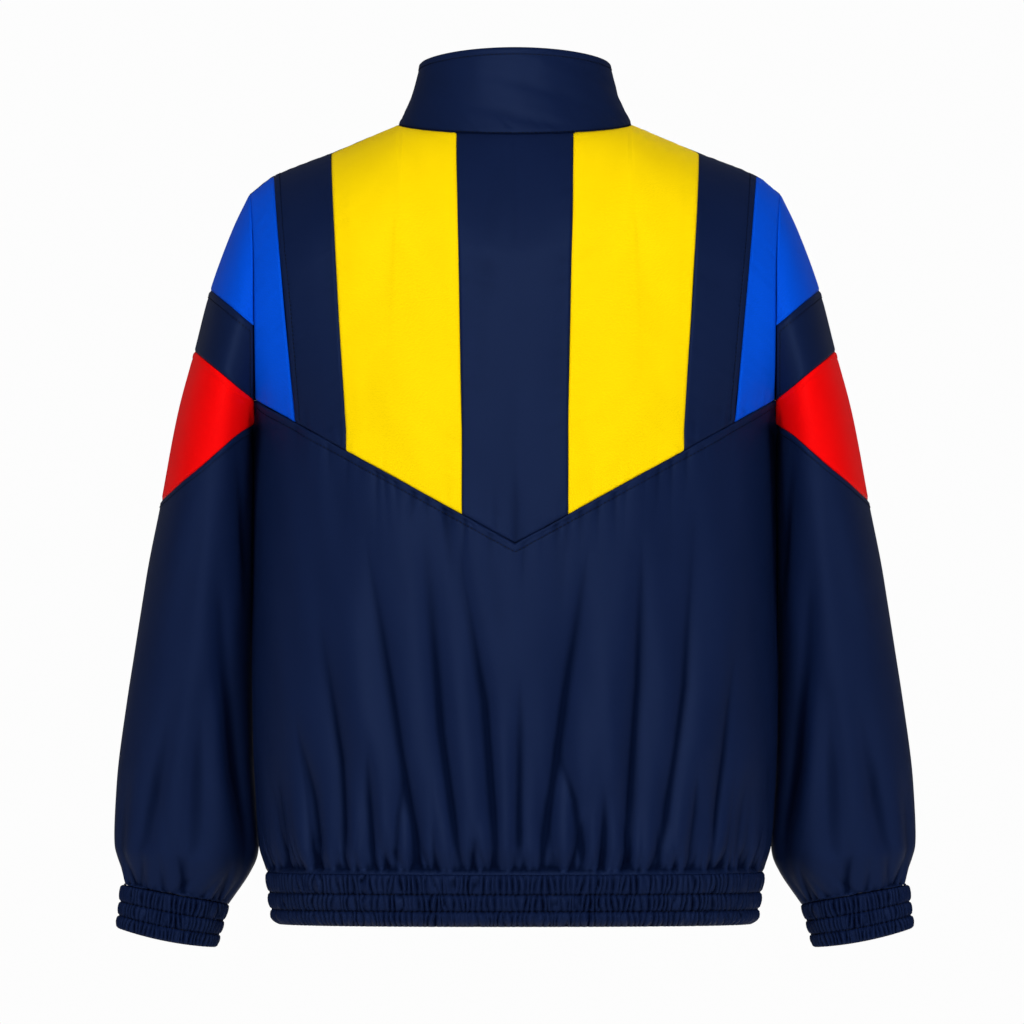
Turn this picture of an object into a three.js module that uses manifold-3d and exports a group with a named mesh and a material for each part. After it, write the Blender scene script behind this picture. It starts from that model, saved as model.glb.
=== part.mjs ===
// A windbreaker jacket, filled out and hollow, as it is worn.
// Millimetres, +Z up, front faces -Y, the wearer's left is +X.
// The origin is the neck base, midway between the two points where collar and shoulder seams meet.
import * as THREE from 'three';
import { mergeVertices } from 'three/addons/utils/BufferGeometryUtils.js';
import Module from 'manifold-3d';

const wasm = await Module();
wasm.setup();

// Driving dimensions
const WALL = 1.5;
const SEAM_GAP = 0.3;
const NECK_HALF_WIDTH = 102;
const NECK_BACK_DEPTH = 72;
const NECK_FRONT_DEPTH = 90;
const NECK_BACK_DROP = 9.5;
const NECK_FRONT_DROP = 75;
const ARMPIT_HALF_WIDTH = 227;
const SHOULDER_HALF_WIDTH = 232;
const SHOULDER_Z = -61;
const ARMPIT_Z = -268;
const CHEVRON_SIDE_Z = -242;
const CHEVRON_POINT_Z = -366.5;
const HEM_SEAM_Z = -654;
const HEM_BOTTOM_Z = -700;
const CHEST_FULLNESS = 38;
const SECTION_POWER = 2.4;
const ZIP_HALF_WIDTH = 6.3;
const COLLAR_TOP_HALF_WIDTH = 83.5;
const COLLAR_HOLLOW = 3;
const HEM_RIBS = 64;
const CUFF_RIBS = 20;
const RIB_HEIGHT = 1.8;
const SLEEVE_GATHER = 1.8;

// Colours and finishes
const NAVY = { color: '#19253f', roughness: 0.55 };
const YELLOW = { color: '#fee002', roughness: 0.5 };
const BLUE = { color: '#0149c6', roughness: 0.5 };
const RED = { color: '#db0309', roughness: 0.5 };
const ELASTIC = { color: '#101b38', roughness: 0.65 };
const METAL = { color: '#8f939b', roughness: 0.35, metalness: 1 };

// Torso sections, a row for each height: half width, and how far back and front stand from the middle
const TORSO = [
  { z: -700, half: 211, back: 115, front: 114 },
  { z: -671, half: 215, back: 118.5, front: 117.5 },
  { z: -654, half: 217.5, back: 120, front: 119 },
  { z: -631, half: 224.5, back: 127, front: 126 },
  { z: -582, half: 228, back: 130, front: 129 },
  { z: -516, half: 229.7, back: 131, front: 130 },
  { z: -416, half: 228.8, back: 130, front: 128 },
  { z: -268, half: 227, back: 128, front: 124 },
  { z: -164, half: 227, back: 124, front: 116 },
  { z: -60, half: 232, back: 118, front: 112 },
  { z: 20, half: 232, back: 116, front: 110 },
];

// Shoulder seam, from the neck to the sleeve
const SHOULDER = [
  { x: 102, z: 0 },
  { x: 161, z: -25 },
  { x: 211, z: -45 },
  { x: 232, z: -61 },
];

// Sleeve stations from armhole to cuff: outer point, inner point, half depth, middle's place along Y
const SLEEVE = [
  { outX: 232, outZ: -61, inX: 227, inZ: -268, deep: 77, midY: 0 },
  { outX: 248, outZ: -95, inX: 229.4, inZ: -270, deep: 81, midY: -1 },
  { outX: 266, outZ: -145, inX: 229.6, inZ: -275, deep: 84, midY: -3 },
  { outX: 280, outZ: -199, inX: 229, inZ: -285, deep: 85, midY: -5 },
  { outX: 292, outZ: -242, inX: 228.6, inZ: -301, deep: 84, midY: -7 },
  { outX: 300, outZ: -277, inX: 228.4, inZ: -320, deep: 82, midY: -9 },
  { outX: 310, outZ: -329, inX: 228.7, inZ: -355, deep: 78, midY: -12 },
  { outX: 321, outZ: -381, inX: 229, inZ: -398, deep: 74, midY: -16 },
  { outX: 327, outZ: -416, inX: 229.3, inZ: -430, deep: 70, midY: -19 },
  { outX: 335, outZ: -468, inX: 229.4, inZ: -478, deep: 65, midY: -24 },
  { outX: 340, outZ: -503, inX: 229.2, inZ: -512, deep: 61, midY: -27 },
  { outX: 347, outZ: -555, inX: 228.2, inZ: -562, deep: 55, midY: -32 },
  { outX: 350, outZ: -590, inX: 226.2, inZ: -598, deep: 51, midY: -35 },
  { outX: 352, outZ: -625, inX: 224.6, inZ: -634, deep: 46, midY: -38 },
  { outX: 351, outZ: -642, inX: 232, inZ: -655, deep: 41, midY: -39 },
  { outX: 345, outZ: -666, inX: 251, inZ: -683, deep: 28, midY: -40 },
];
const CUFF_BOTTOM = { outX: 349, outZ: -704, inX: 262, inZ: -721, deep: 27, midY: -40 };

// Sleeve seams, each a straight cut seen from behind: a point on the outer edge and one on the armhole
const SLEEVE_CUTS = {
  cap: { outX: 266, outZ: -146, inX: 227, inZ: -177 },
  band: { outX: 280, outZ: -199, inX: 227, inZ: -242 },
  red: { outX: 310, outZ: -329, inX: 227, inZ: -262 },
};

// Soft folds that rise from the hem gathers: place at the hem, place and height of the top, depth, half width
const BACK_FOLDS = [
  { hemX: 85, topX: 128, topZ: -380, deep: 7, wide: 13 },
  { hemX: 50, topX: 74, topZ: -390, deep: 6, wide: 11 },
  { hemX: 16, topX: 44, topZ: -385, deep: 7, wide: 11 },
  { hemX: -23, topX: -64, topZ: -390, deep: 7, wide: 12 },
  { hemX: -97, topX: -112, topZ: -370, deep: 7, wide: 13 },
  { hemX: -129, topX: -157, topZ: -365, deep: 6, wide: 12 },
  { hemX: 151, topX: 168, topZ: -450, deep: 6, wide: 12 },
  { hemX: 174, topX: 192, topZ: -530, deep: 5, wide: 10 },
  { hemX: -177, topX: -193, topZ: -450, deep: 5, wide: 11 },
  { hemX: 204, topX: 211, topZ: -560, deep: 4, wide: 10 },
  { hemX: 119, topX: 130, topZ: -550, deep: 5, wide: 10 },
  { hemX: -60, topX: -40, topZ: -540, deep: 5, wide: 10 },
  { hemX: -155, topX: -163, topZ: -560, deep: 4, wide: 9 },
  { hemX: -4, topX: -4, topZ: -500, deep: 4, wide: 9 },
];
const FRONT_FOLDS = [
  { hemX: 40, topX: 52, topZ: -420, deep: 6, wide: 12 },
  { hemX: 82, topX: 104, topZ: -360, deep: 7, wide: 13 },
  { hemX: 120, topX: 136, topZ: -470, deep: 6, wide: 12 },
  { hemX: 156, topX: 170, topZ: -400, deep: 6, wide: 12 },
  { hemX: 188, topX: 198, topZ: -520, deep: 5, wide: 11 },
  { hemX: -34, topX: -48, topZ: -450, deep: 6, wide: 12 },
  { hemX: -74, topX: -92, topZ: -380, deep: 7, wide: 13 },
  { hemX: -114, topX: -128, topZ: -500, deep: 5, wide: 12 },
  { hemX: -148, topX: -166, topZ: -410, deep: 6, wide: 12 },
  { hemX: -184, topX: -196, topZ: -530, deep: 5, wide: 11 },
];

// Columns of the back, middle to armhole: place at the shoulder and at the armpit's height
const BACK_COLUMNS = [
  { top: 0, low: 0 },
  { top: 25, low: 23 },
  { top: 51, low: 46 },
  { top: 70, low: 64 },
  { top: 87, low: 82 },
  { top: 98, low: 98 },
  { top: 102, low: 114 },
  { top: 131, low: 130 },
  { top: 161, low: 147 },
  { top: 186, low: 170 },
  { top: 211, low: 191 },
  { top: 219, low: 206 },
  { top: 226, low: 218 },
  { top: 230, low: 224.5 },
  { top: 232, low: 227 },
];
const FRONT_COLUMNS = [
  { top: 6.3, low: 6.3 },
  { top: 28, low: 28 },
  { top: 50, low: 52 },
  { top: 70, low: 76 },
  { top: 87, low: 98 },
  { top: 98, low: 118 },
  { top: 102, low: 136 },
  { top: 128, low: 154 },
  { top: 156, low: 172 },
  { top: 184, low: 190 },
  { top: 206, low: 205 },
  { top: 220, low: 217 },
  { top: 228, low: 224 },
  { top: 232, low: 227 },
];
const CENTRE_EDGE = 2;
const YELLOW_EDGE = 8;
const BLUE_EDGE = 10;
const BACK_EDGE = BACK_COLUMNS.length - 1;

// A smooth curve through one column of a table
function curveOf(rows, key, value) {
  const sorted = [...rows].sort((a, b) => a[key] - b[key]);
  const slope = (i, j) => (sorted[j][value] - sorted[i][value]) / (sorted[j][key] - sorted[i][key]);
  const last = sorted.length - 1;
  const slopes = sorted.map((row, i) => slope(Math.max(0, i - 1), Math.min(last, i + 1)));
  return (at) => {
    const place = THREE.MathUtils.clamp(at, sorted[0][key], sorted[last][key]);
    let i = 0;
    while (i < last - 1 && place > sorted[i + 1][key]) {
      i += 1;
    }
    const span = sorted[i + 1][key] - sorted[i][key];
    const s = (place - sorted[i][key]) / span;
    const keep = (1 + 2 * s) * (1 - s) * (1 - s);
    const rise = s * (1 - s) * (1 - s) * span;
    const fall = s * s * (s - 1) * span;
    return keep * sorted[i][value] + (1 - keep) * sorted[i + 1][value] + rise * slopes[i] + fall * slopes[i + 1];
  };
}

const torsoHalf = curveOf(TORSO, 'z', 'half');
const backDepth = curveOf(TORSO, 'z', 'back');
const frontDepth = curveOf(TORSO, 'z', 'front');
const shoulderZ = curveOf(SHOULDER, 'x', 'z');
const stations = SLEEVE.map((row, index) => ({ ...row, t: index / (SLEEVE.length - 1) }));
const sleeveCurves = {};
for (const name of ['outX', 'outZ', 'inX', 'inZ', 'deep', 'midY']) {
  sleeveCurves[name] = curveOf(stations, 't', name);
}

function power(base, exponent) {
  return Math.pow(Math.max(0, base), exponent);
}

function mix(a, b, share) {
  return a + (b - a) * share;
}

// Half width of the chest form, which the armhole cuts through above the armpit
function formHalf(z) {
  if (z < ARMPIT_Z) {
    return torsoHalf(z);
  }
  const rise = Math.min(1, (z - ARMPIT_Z) / 104);
  return ARMPIT_HALF_WIDTH + CHEST_FULLNESS * power(Math.sin(rise * Math.PI / 2), 1.3);
}

// Seam along neck and shoulder, where back and front begin
function topLine(x, side) {
  if (x >= NECK_HALF_WIDTH) {
    return { y: 0, z: shoulderZ(x) };
  }
  const round = Math.sqrt(1 - (x / NECK_HALF_WIDTH) ** 2);
  if (side > 0) {
    return { y: NECK_BACK_DEPTH * round, z: -NECK_BACK_DROP * power(round, 1.2) };
  }
  return { y: NECK_FRONT_DEPTH * round, z: -NECK_FRONT_DROP * power(round, 1.3) };
}

// How the cloth rolls over the shoulder: 0 at the seam and 1 where the back hangs straight
function roll(depth, x) {
  const outward = Math.min(1, x / NECK_HALF_WIDTH);
  const reach = mix(110, 86, outward) + 17 * power((x - NECK_HALF_WIDTH) / 130, 1);
  const bend = mix(1.3, 2, outward * outward);
  const s = THREE.MathUtils.clamp(depth / reach, 0, 1);
  return power(1 - power(1 - s, bend), 1 / bend);
}

// A point of body cloth without folds; side is 1 for the back and -1 for the front
function plainBody(side, x, z) {
  const across = Math.abs(x);
  const depth = side > 0 ? backDepth(z) : frontDepth(z);
  const full = depth * power(1 - power(across / formHalf(z), SECTION_POWER), 1 / SECTION_POWER);
  const top = topLine(across, side);
  const y = mix(top.y, full, roll(top.z - z, across));
  return new THREE.Vector3(x, side * y, z);
}

function foldDepth(folds, x, z) {
  let depth = 0;
  for (const fold of folds) {
    const height = (z - HEM_SEAM_Z) / (fold.topZ - HEM_SEAM_Z);
    if (height > 0 && height < 1) {
      const middle = mix(fold.hemX, fold.topX, height);
      const strength = Math.sin(Math.PI * power(height, 0.55));
      depth += fold.deep * strength * Math.exp(-(((x - middle) / fold.wide) ** 2));
    }
  }
  return depth;
}

function bodyNormal(side, x, z) {
  const step = 0.5;
  const inner = Math.sign(x || 1) * step;
  const down = plainBody(side, x, z - step).sub(plainBody(side, x, z));
  const inward = plainBody(side, x - inner, z).sub(plainBody(side, x, z));
  const normal = down.cross(inward).normalize();
  return normal.y * side < 0 ? normal.negate() : normal;
}

function bodyPoint(side, x, z) {
  const folds = side > 0 ? BACK_FOLDS : FRONT_FOLDS;
  const point = plainBody(side, x, z);
  const depth = foldDepth(folds, x, z);
  return depth > 0.01 ? point.addScaledVector(bodyNormal(side, x, z), -depth) : point;
}

// Armhole, from the shoulder point at 0 to the armpit at PI
const armMiddleZ = (SHOULDER_Z + ARMPIT_Z) / 2;
const armHalfHeight = (SHOULDER_Z - ARMPIT_Z) / 2;
function armholeX(z) {
  const height = THREE.MathUtils.clamp((z - ARMPIT_Z) / (2 * armHalfHeight), 0, 1);
  return ARMPIT_HALF_WIDTH + (SHOULDER_HALF_WIDTH - ARMPIT_HALF_WIDTH) * height ** 4;
}
function armholePoint(angle) {
  const z = armMiddleZ + armHalfHeight * Math.cos(angle);
  const side = Math.sin(angle) < 0 ? -1 : 1;
  const point = plainBody(side, armholeX(z), z);
  if (Math.abs(Math.sin(angle)) < 1e-9) {
    point.y = 0;
  }
  return point;
}
function armholeAngle(z) {
  return Math.acos((z - armMiddleZ) / armHalfHeight);
}

// One point of the sleeve: t runs from armhole to cuff, angle from the outer edge round by the back
function sleevePoint(t, angle) {
  const at = (name) => sleeveCurves[name](t);
  const plain = ovalPoint(at('outX'), at('outZ'), at('inX'), at('inZ'), at('deep'), at('midY'), angle);
  const fade = power(1 - t / 0.22, 2);
  if (fade === 0) {
    return plain;
  }
  const start = SLEEVE[0];
  const oval = ovalPoint(start.outX, start.outZ, start.inX, start.inZ, start.deep, start.midY, angle);
  return plain.addScaledVector(armholePoint(angle).sub(oval), fade);
}
function ovalPoint(outX, outZ, inX, inZ, deep, midY, angle) {
  const along = (1 + Math.cos(angle)) / 2;
  return new THREE.Vector3(mix(inX, outX, along), midY + deep * Math.sin(angle), mix(inZ, outZ, along));
}
function sleeveNormal(t, angle) {
  const step = 0.002;
  const down = sleevePoint(t + step, angle).sub(sleevePoint(Math.max(0, t), angle));
  const round = sleevePoint(t, angle + step * 5).sub(sleevePoint(t, angle - step * 5));
  return round.cross(down).normalize().negate();
}

// Where a sleeve seam crosses the lengthwise line at this angle, by halving
function cutPlace(cut, angle) {
  const above = (t) => {
    const point = sleevePoint(t, angle);
    const share = (point.x - cut.inX) / (cut.outX - cut.inX);
    return point.z > mix(cut.inZ, cut.outZ, share);
  };
  if (!above(0)) {
    return 0;
  }
  let low = 0;
  let high = 0.7;
  for (let i = 0; i < 40; i += 1) {
    const middle = (low + high) / 2;
    if (above(middle)) {
      low = middle;
    } else {
      high = middle;
    }
  }
  return low;
}

// A closed wall from a grid of outer points and a grid of inner points
function wallGeometry(outer, inner, { ring = false, plainInside = false } = {}) {
  const positions = [];
  const rows = outer.length;
  const columns = outer[0].length;
  const steps = ring ? columns : columns - 1;
  const add = (a, b, c) => {
    const area = new THREE.Triangle(a, b, c).getArea();
    if (area > 1e-5) {
      positions.push(...a.toArray(), ...b.toArray(), ...c.toArray());
    }
  };
  const quad = (a, b, c, d) => {
    add(a, b, c);
    add(a, c, d);
  };
  for (let j = 0; j < steps; j += 1) {
    const next = (j + 1) % columns;
    for (let i = 0; i < rows - 1; i += 1) {
      quad(outer[i][j], outer[i][next], outer[i + 1][next], outer[i + 1][j]);
      if (!plainInside) {
        quad(inner[i][j], inner[i + 1][j], inner[i + 1][next], inner[i][next]);
      }
    }
    const last = rows - 1;
    if (plainInside) {
      quad(inner[0][j], inner[last][j], inner[last][next], inner[0][next]);
    }
    quad(outer[0][next], outer[0][j], inner[0][j], inner[0][next]);
    quad(outer[last][next], inner[last][next], inner[last][j], outer[last][j]);
  }
  if (!ring) {
    for (const [j, flip] of [[0, false], [columns - 1, true]]) {
      closeEnd(outer, inner, j, flip, plainInside, add);
    }
  }
  const geometry = new THREE.BufferGeometry();
  geometry.setAttribute('position', new THREE.Float32BufferAttribute(positions, 3));
  return outwards(mergeVertices(geometry, 1e-4));
}

// The end face of an open wall: a strip, or a fan where the inside is plain
function closeEnd(outer, inner, j, flip, plainInside, add) {
  const last = outer.length - 1;
  const face = (a, b, c) => (flip ? add(a, c, b) : add(a, b, c));
  for (let i = 0; i < last; i += 1) {
    if (plainInside) {
      face(outer[i][j], outer[i + 1][j], inner[0][j]);
    } else {
      face(outer[i][j], outer[i + 1][j], inner[i + 1][j]);
      face(outer[i][j], inner[i + 1][j], inner[i][j]);
    }
  }
  if (plainInside) {
    face(outer[last][j], inner[last][j], inner[0][j]);
  }
}

// Turns a closed mesh so that its faces point outwards
function outwards(geometry) {
  const place = geometry.attributes.position;
  const index = geometry.index;
  const corner = (k) => new THREE.Vector3().fromBufferAttribute(place, index.getX(k));
  let volume = 0;
  for (let k = 0; k < index.count; k += 3) {
    volume += corner(k).dot(corner(k + 1).cross(corner(k + 2)));
  }
  if (volume < 0) {
    for (let k = 0; k < index.count; k += 3) {
      const first = index.getX(k);
      index.setX(k, index.getX(k + 1));
      index.setX(k + 1, first);
    }
  }
  geometry.computeVertexNormals();
  return geometry;
}

// Inner points lie one wall thickness inside, and every open edge stands back half a seam gap
function sewnWall(points, normals, options = {}) {
  const inner = points.map((row, i) => row.map((p, j) => p.clone().addScaledVector(normals[i][j], -WALL)));
  const outer = points.map((row) => row.map((p) => p.clone()));
  const columns = points[0].length;
  const last = points.length - 1;
  const step = (from, to, along, normal) => {
    const shift = to.clone().sub(from);
    shift.addScaledVector(along, -shift.dot(along));
    shift.addScaledVector(normal, -shift.dot(normal));
    return shift.setLength(SEAM_GAP / 2);
  };
  const pull = (i, j, toI, toJ, alongI, alongJ) => {
    const along = points[alongI[1]][alongJ[1]].clone().sub(points[alongI[0]][alongJ[0]]).normalize();
    const shift = step(points[i][j], points[toI][toJ], along, normals[i][j]);
    outer[i][j].add(shift);
    inner[i][j].add(shift);
  };
  for (let j = 0; j < columns; j += 1) {
    const left = options.ring ? (j + columns - 1) % columns : Math.max(0, j - 1);
    const right = options.ring ? (j + 1) % columns : Math.min(columns - 1, j + 1);
    pull(0, j, 1, j, [0, 0], [left, right]);
    pull(last, j, last - 1, j, [last, last], [left, right]);
  }
  if (!options.ring) {
    for (let i = 0; i <= last; i += 1) {
      const rows = [Math.max(0, i - 1), Math.min(last, i + 1)];
      pull(i, 0, i, 1, rows, [0, 0]);
      pull(i, columns - 1, i, columns - 2, rows, [columns - 1, columns - 1]);
    }
  }
  return wallGeometry(outer, inner, options);
}

// The same wall on the wearer's right
function mirrored(geometry) {
  const copy = geometry.clone();
  copy.scale(-1, 1, 1);
  return outwards(copy);
}

const jacket = new THREE.Group();
function piece(name, geometry, finish) {
  const material = new THREE.MeshStandardMaterial({ metalness: 0, ...finish });
  const mesh = new THREE.Mesh(geometry, material);
  mesh.name = name;
  jacket.add(mesh);
  return mesh;
}
function pair(name, geometry, finish) {
  piece(`${name}_l`, geometry, finish);
  piece(`${name}_r`, mirrored(geometry), finish);
}

// Angles round the armhole that rows of the body and columns of the sleeve share
const capAngle = armholeAngle(SLEEVE_CUTS.cap.inZ);
const bandAngle = armholeAngle(CHEVRON_SIDE_Z);
const redAngle = armholeAngle(SLEEVE_CUTS.red.inZ);
const ARM_ANGLES = [0, 0.3, 0.6, 0.95, 1.3, capAngle, 2.05, bandAngle, redAngle, Math.PI];
const CAP_STEP = 5;
const BAND_STEP = 7;
const RED_STEP = 8;

// Seam directions that two neighbouring walls share
const topNormals = (x, z, side) => {
  if (x < NECK_HALF_WIDTH) {
    return bodyNormal(side, x, z - 1);
  }
  const slope = (shoulderZ(x + 1) - shoulderZ(x - 1)) / 2;
  return new THREE.Vector3(-slope, 0, 1).normalize();
};
function armholeNormal(angle) {
  const z = armMiddleZ + armHalfHeight * Math.cos(angle);
  const side = Math.sin(angle) < 0 ? -1 : 1;
  if (angle > Math.PI - 0.001) {
    return new THREE.Vector3(0.48, 0, -0.88).normalize();
  }
  if (Math.abs(angle) < 0.001) {
    return new THREE.Vector3(0.6, 0, 0.8);
  }
  const body = bodyNormal(side, armholeX(z) - 1, z);
  return body.add(sleeveNormal(0.004, angle)).normalize();
}

// Across place of a column at height z, given where its top is
function columnX(column, z, topZ) {
  if (z < ARMPIT_Z) {
    return column.low * torsoHalf(z) / ARMPIT_HALF_WIDTH;
  }
  const down = THREE.MathUtils.clamp((topZ - z) / (topZ - ARMPIT_Z), 0, 1);
  const edgeZ = mix(SHOULDER_Z, ARMPIT_Z, down);
  const eased = power(down, 1.1);
  const straightEdge = mix(SHOULDER_HALF_WIDTH, ARMPIT_HALF_WIDTH, eased);
  const share = power(column.low / ARMPIT_HALF_WIDTH, 8);
  return mix(column.top, column.low, eased) + (armholeX(edgeZ) - straightEdge) * share;
}
function mainColumnTop(column, side) {
  return topLine(column.top, side).z;
}
function chevronZ(x) {
  return mix(CHEVRON_POINT_Z, CHEVRON_SIDE_Z, Math.abs(x) / ARMPIT_HALF_WIDTH);
}

// Grid of body points between two heights given for each column
function bodyGrid(side, columns, fractions, startZ, endZ, sign = 1) {
  const points = [];
  const normals = [];
  for (const fraction of fractions) {
    const pointRow = [];
    const normalRow = [];
    for (const column of columns) {
      const topZ = mainColumnTop(column, side);
      const z = mix(startZ(column, topZ), endZ(column, topZ), fraction);
      const x = columnX(column, z, topZ);
      const signed = x * (column.sign ?? sign);
      const point = bodyPoint(side, signed, z);
      pointRow.push(point);
      normalRow.push(seamNormal(side, column, signed, x, z, topZ));
    }
    points.push(pointRow);
    normals.push(normalRow);
  }
  return { points, normals };
}
function seamNormal(side, column, signed, x, z, topZ) {
  let normal;
  if (topZ - z < 0.01) {
    normal = topNormals(column.top, z, side);
  } else if (z < HEM_SEAM_Z + 0.01) {
    normal = bodyNormal(side, x, z);
    normal.z = 0;
  } else if (column.low === ARMPIT_HALF_WIDTH && z > ARMPIT_Z - 0.01) {
    normal = armholeNormal(armholeAngle(Math.max(z, ARMPIT_Z)));
  } else if (column.low === ARMPIT_HALF_WIDTH) {
    return new THREE.Vector3(Math.sign(signed), 0, 0);
  } else {
    normal = bodyNormal(side, x, z);
  }
  if (column.low === ARMPIT_HALF_WIDTH && topZ - z < 0.01) {
    normal = armholeNormal(0);
  }
  normal.normalize();
  if (side < 0 && normal.y > 0) {
    normal.y = -normal.y;
  }
  normal.x *= Math.sign(signed || 1);
  return normal;
}

// Chevron place on each column, found where the column meets the slanted seam
function chevronAt(column, topZ) {
  let z = chevronZ(column.low);
  for (let i = 0; i < 12; i += 1) {
    z = chevronZ(columnX(column, z, topZ));
  }
  return z;
}

const bandFraction = (angle) => (1 - Math.cos(angle)) / (1 - Math.cos(bandAngle));
const upperRows = ARM_ANGLES.slice(0, BAND_STEP + 1).map(bandFraction);
upperRows[upperRows.length - 1] = 1;

// Upper back panels
function upperBack(from, to) {
  const columns = BACK_COLUMNS.slice(from, to + 1);
  return bodyGrid(1, columns, upperRows, (column, topZ) => topZ, chevronAt);
}
function bothSides(columns) {
  const right = columns.filter((column) => column.low > 0).map((column) => ({ ...column, sign: -1 }));
  return [...right.reverse(), ...columns.map((column) => ({ ...column, sign: 1 }))];
}
const centre = bodyGrid(1, bothSides(BACK_COLUMNS.slice(0, CENTRE_EDGE + 1)), upperRows, (c, topZ) => topZ, chevronAt);
piece('back_centre', sewnWall(centre.points, centre.normals), NAVY);
for (const [name, from, to, finish] of [
  ['back_yellow', CENTRE_EDGE, YELLOW_EDGE, YELLOW],
  ['back_navy', YELLOW_EDGE, BLUE_EDGE, NAVY],
  ['back_blue', BLUE_EDGE, BACK_EDGE, BLUE],
]) {
  const grid = upperBack(from, to);
  pair(name, sewnWall(grid.points, grid.normals), finish);
}

// Lower back, with a column between each two of the upper ones where they lie wide apart
function finer(columns) {
  const result = [];
  columns.forEach((column, i) => {
    const next = columns[i + 1];
    result.push(column);
    if (next && next.low - column.low > 14) {
      result.push({ top: (column.top + next.top) / 2, low: (column.low + next.low) / 2 });
    }
  });
  return result;
}
const lowerSpan = CHEVRON_SIDE_Z - HEM_SEAM_Z;
const lowerLevels = [CHEVRON_SIDE_Z, -262, ARMPIT_Z, -312, -362, -412, -460, -508, -552, -592, -622, -642, HEM_SEAM_Z];
const lowerRows = lowerLevels.map((z) => (CHEVRON_SIDE_Z - z) / lowerSpan);
const lower = bodyGrid(1, bothSides(finer(BACK_COLUMNS)), lowerRows, chevronAt, () => HEM_SEAM_Z);
piece('back_lower', sewnWall(lower.points, lower.normals), NAVY);

// Fronts, plain, from neck and shoulder to the hem seam
function frontGrid(sign) {
  const upper = ARM_ANGLES.map((angle) => (1 - Math.cos(angle)) / 2);
  const grid = bodyGrid(-1, FRONT_COLUMNS, upper, (c, topZ) => topZ, () => ARMPIT_Z, sign);
  const below = lowerLevels.slice(3).map((z) => (ARMPIT_Z - z) / (ARMPIT_Z - HEM_SEAM_Z));
  const rest = bodyGrid(-1, FRONT_COLUMNS, below, () => ARMPIT_Z, () => HEM_SEAM_Z, sign);
  return { points: [...grid.points, ...rest.points], normals: [...grid.normals, ...rest.normals] };
}
for (const [name, sign] of [['front_l', 1], ['front_r', -1]]) {
  const grid = frontGrid(sign);
  piece(name, sewnWall(grid.points, grid.normals), NAVY);
}

// Sleeve pieces, each between two cuts
const roundAngles = [...ARM_ANGLES.slice(1, -1).map((angle) => -angle).reverse(), ...ARM_ANGLES];
function sleeveGrid(angles, start, end, rows, gather) {
  const points = [];
  const normals = [];
  for (let i = 0; i <= rows; i += 1) {
    const pointRow = [];
    const normalRow = [];
    angles.forEach((angle, j) => {
      const t = mix(start(angle), end(angle), i / rows);
      const atArmhole = t < 0.0005;
      const normal = atArmhole ? mirroredArmNormal(angle) : sleeveNormal(t, angle);
      const point = sleevePoint(t, angle);
      if (gather) {
        const wave = Math.max(0, (t - 0.88) / 0.12) * SLEEVE_GATHER * (j % 2 ? 1 : -0.3);
        point.addScaledVector(normal, -wave * Math.sin(Math.PI * Math.min(1, (1 - t) / 0.06) / 2));
      }
      if (t > 0.999) {
        cuffNormal(angle, normal);
      }
      pointRow.push(point);
      normalRow.push(normal);
    });
    points.push(pointRow);
    normals.push(normalRow);
  }
  return { points, normals };
}
function mirroredArmNormal(angle) {
  const normal = armholeNormal(Math.abs(angle));
  if (angle < 0) {
    const front = armholeNormal(angle);
    normal.copy(front);
  }
  return normal;
}

// The oval where sleeve and cuff meet lies in one slanted plane
function cuffNormal(angle, normal) {
  const end = SLEEVE[SLEEVE.length - 1];
  const wide = new THREE.Vector3(end.outX - end.inX, 0, end.outZ - end.inZ);
  const half = wide.length() / 2;
  wide.normalize();
  const across = new THREE.Vector3(0, 1, 0);
  normal.set(0, 0, 0);
  normal.addScaledVector(wide, Math.cos(angle) / half);
  normal.addScaledVector(across, Math.sin(angle) / end.deep);
  normal.normalize();
}
const cutAt = (name) => (angle) => cutPlace(SLEEVE_CUTS[name], angle);
const TIP = 0.035;
function anglesTo(step) {
  const edge = ARM_ANGLES[step] - TIP;
  const half = [...ARM_ANGLES.slice(0, step), edge];
  return [...half.slice(1).map((angle) => -angle).reverse(), ...half];
}
function withTips(angles) {
  const tips = [CAP_STEP, BAND_STEP, RED_STEP].map((step) => ARM_ANGLES[step] - TIP);
  const reach = Math.max(...angles);
  const extra = tips.filter((tip) => tip < reach - 0.001).flatMap((tip) => [tip, -tip]);
  return [...new Set([...angles, ...extra])].sort((a, b) => a - b);
}
const capGrid = sleeveGrid(anglesTo(CAP_STEP), () => 0, cutAt('cap'), 3);
const bandGrid = sleeveGrid(withTips(anglesTo(BAND_STEP)), cutAt('cap'), cutAt('band'), 2);
const redGrid = sleeveGrid(withTips(anglesTo(RED_STEP)), cutAt('band'), cutAt('red'), 4);
pair('sleeve_cap', sewnWall(capGrid.points, capGrid.normals), BLUE);
pair('sleeve_band', sewnWall(bandGrid.points, bandGrid.normals), NAVY);
pair('sleeve_red', sewnWall(redGrid.points, redGrid.normals), RED);
const lowerSleeve = sleeveGrid(withTips(roundAngles), cutAt('red'), () => 1, 10, true);
pair('sleeve_lower', sewnWall(lowerSleeve.points, lowerSleeve.normals, { ring: true }), NAVY);

// Gathered bands: ribs raised on the outer wall, over a plain inside
const RIB_ROWS = [
  { share: 0, rib: 0.3 },
  { share: 0.2, rib: 1 },
  { share: 0.37, rib: 0.35 },
  { share: 0.53, rib: 1 },
  { share: 0.69, rib: 0.35 },
  { share: 0.86, rib: 1 },
  { share: 1, rib: 0.4 },
];

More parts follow.
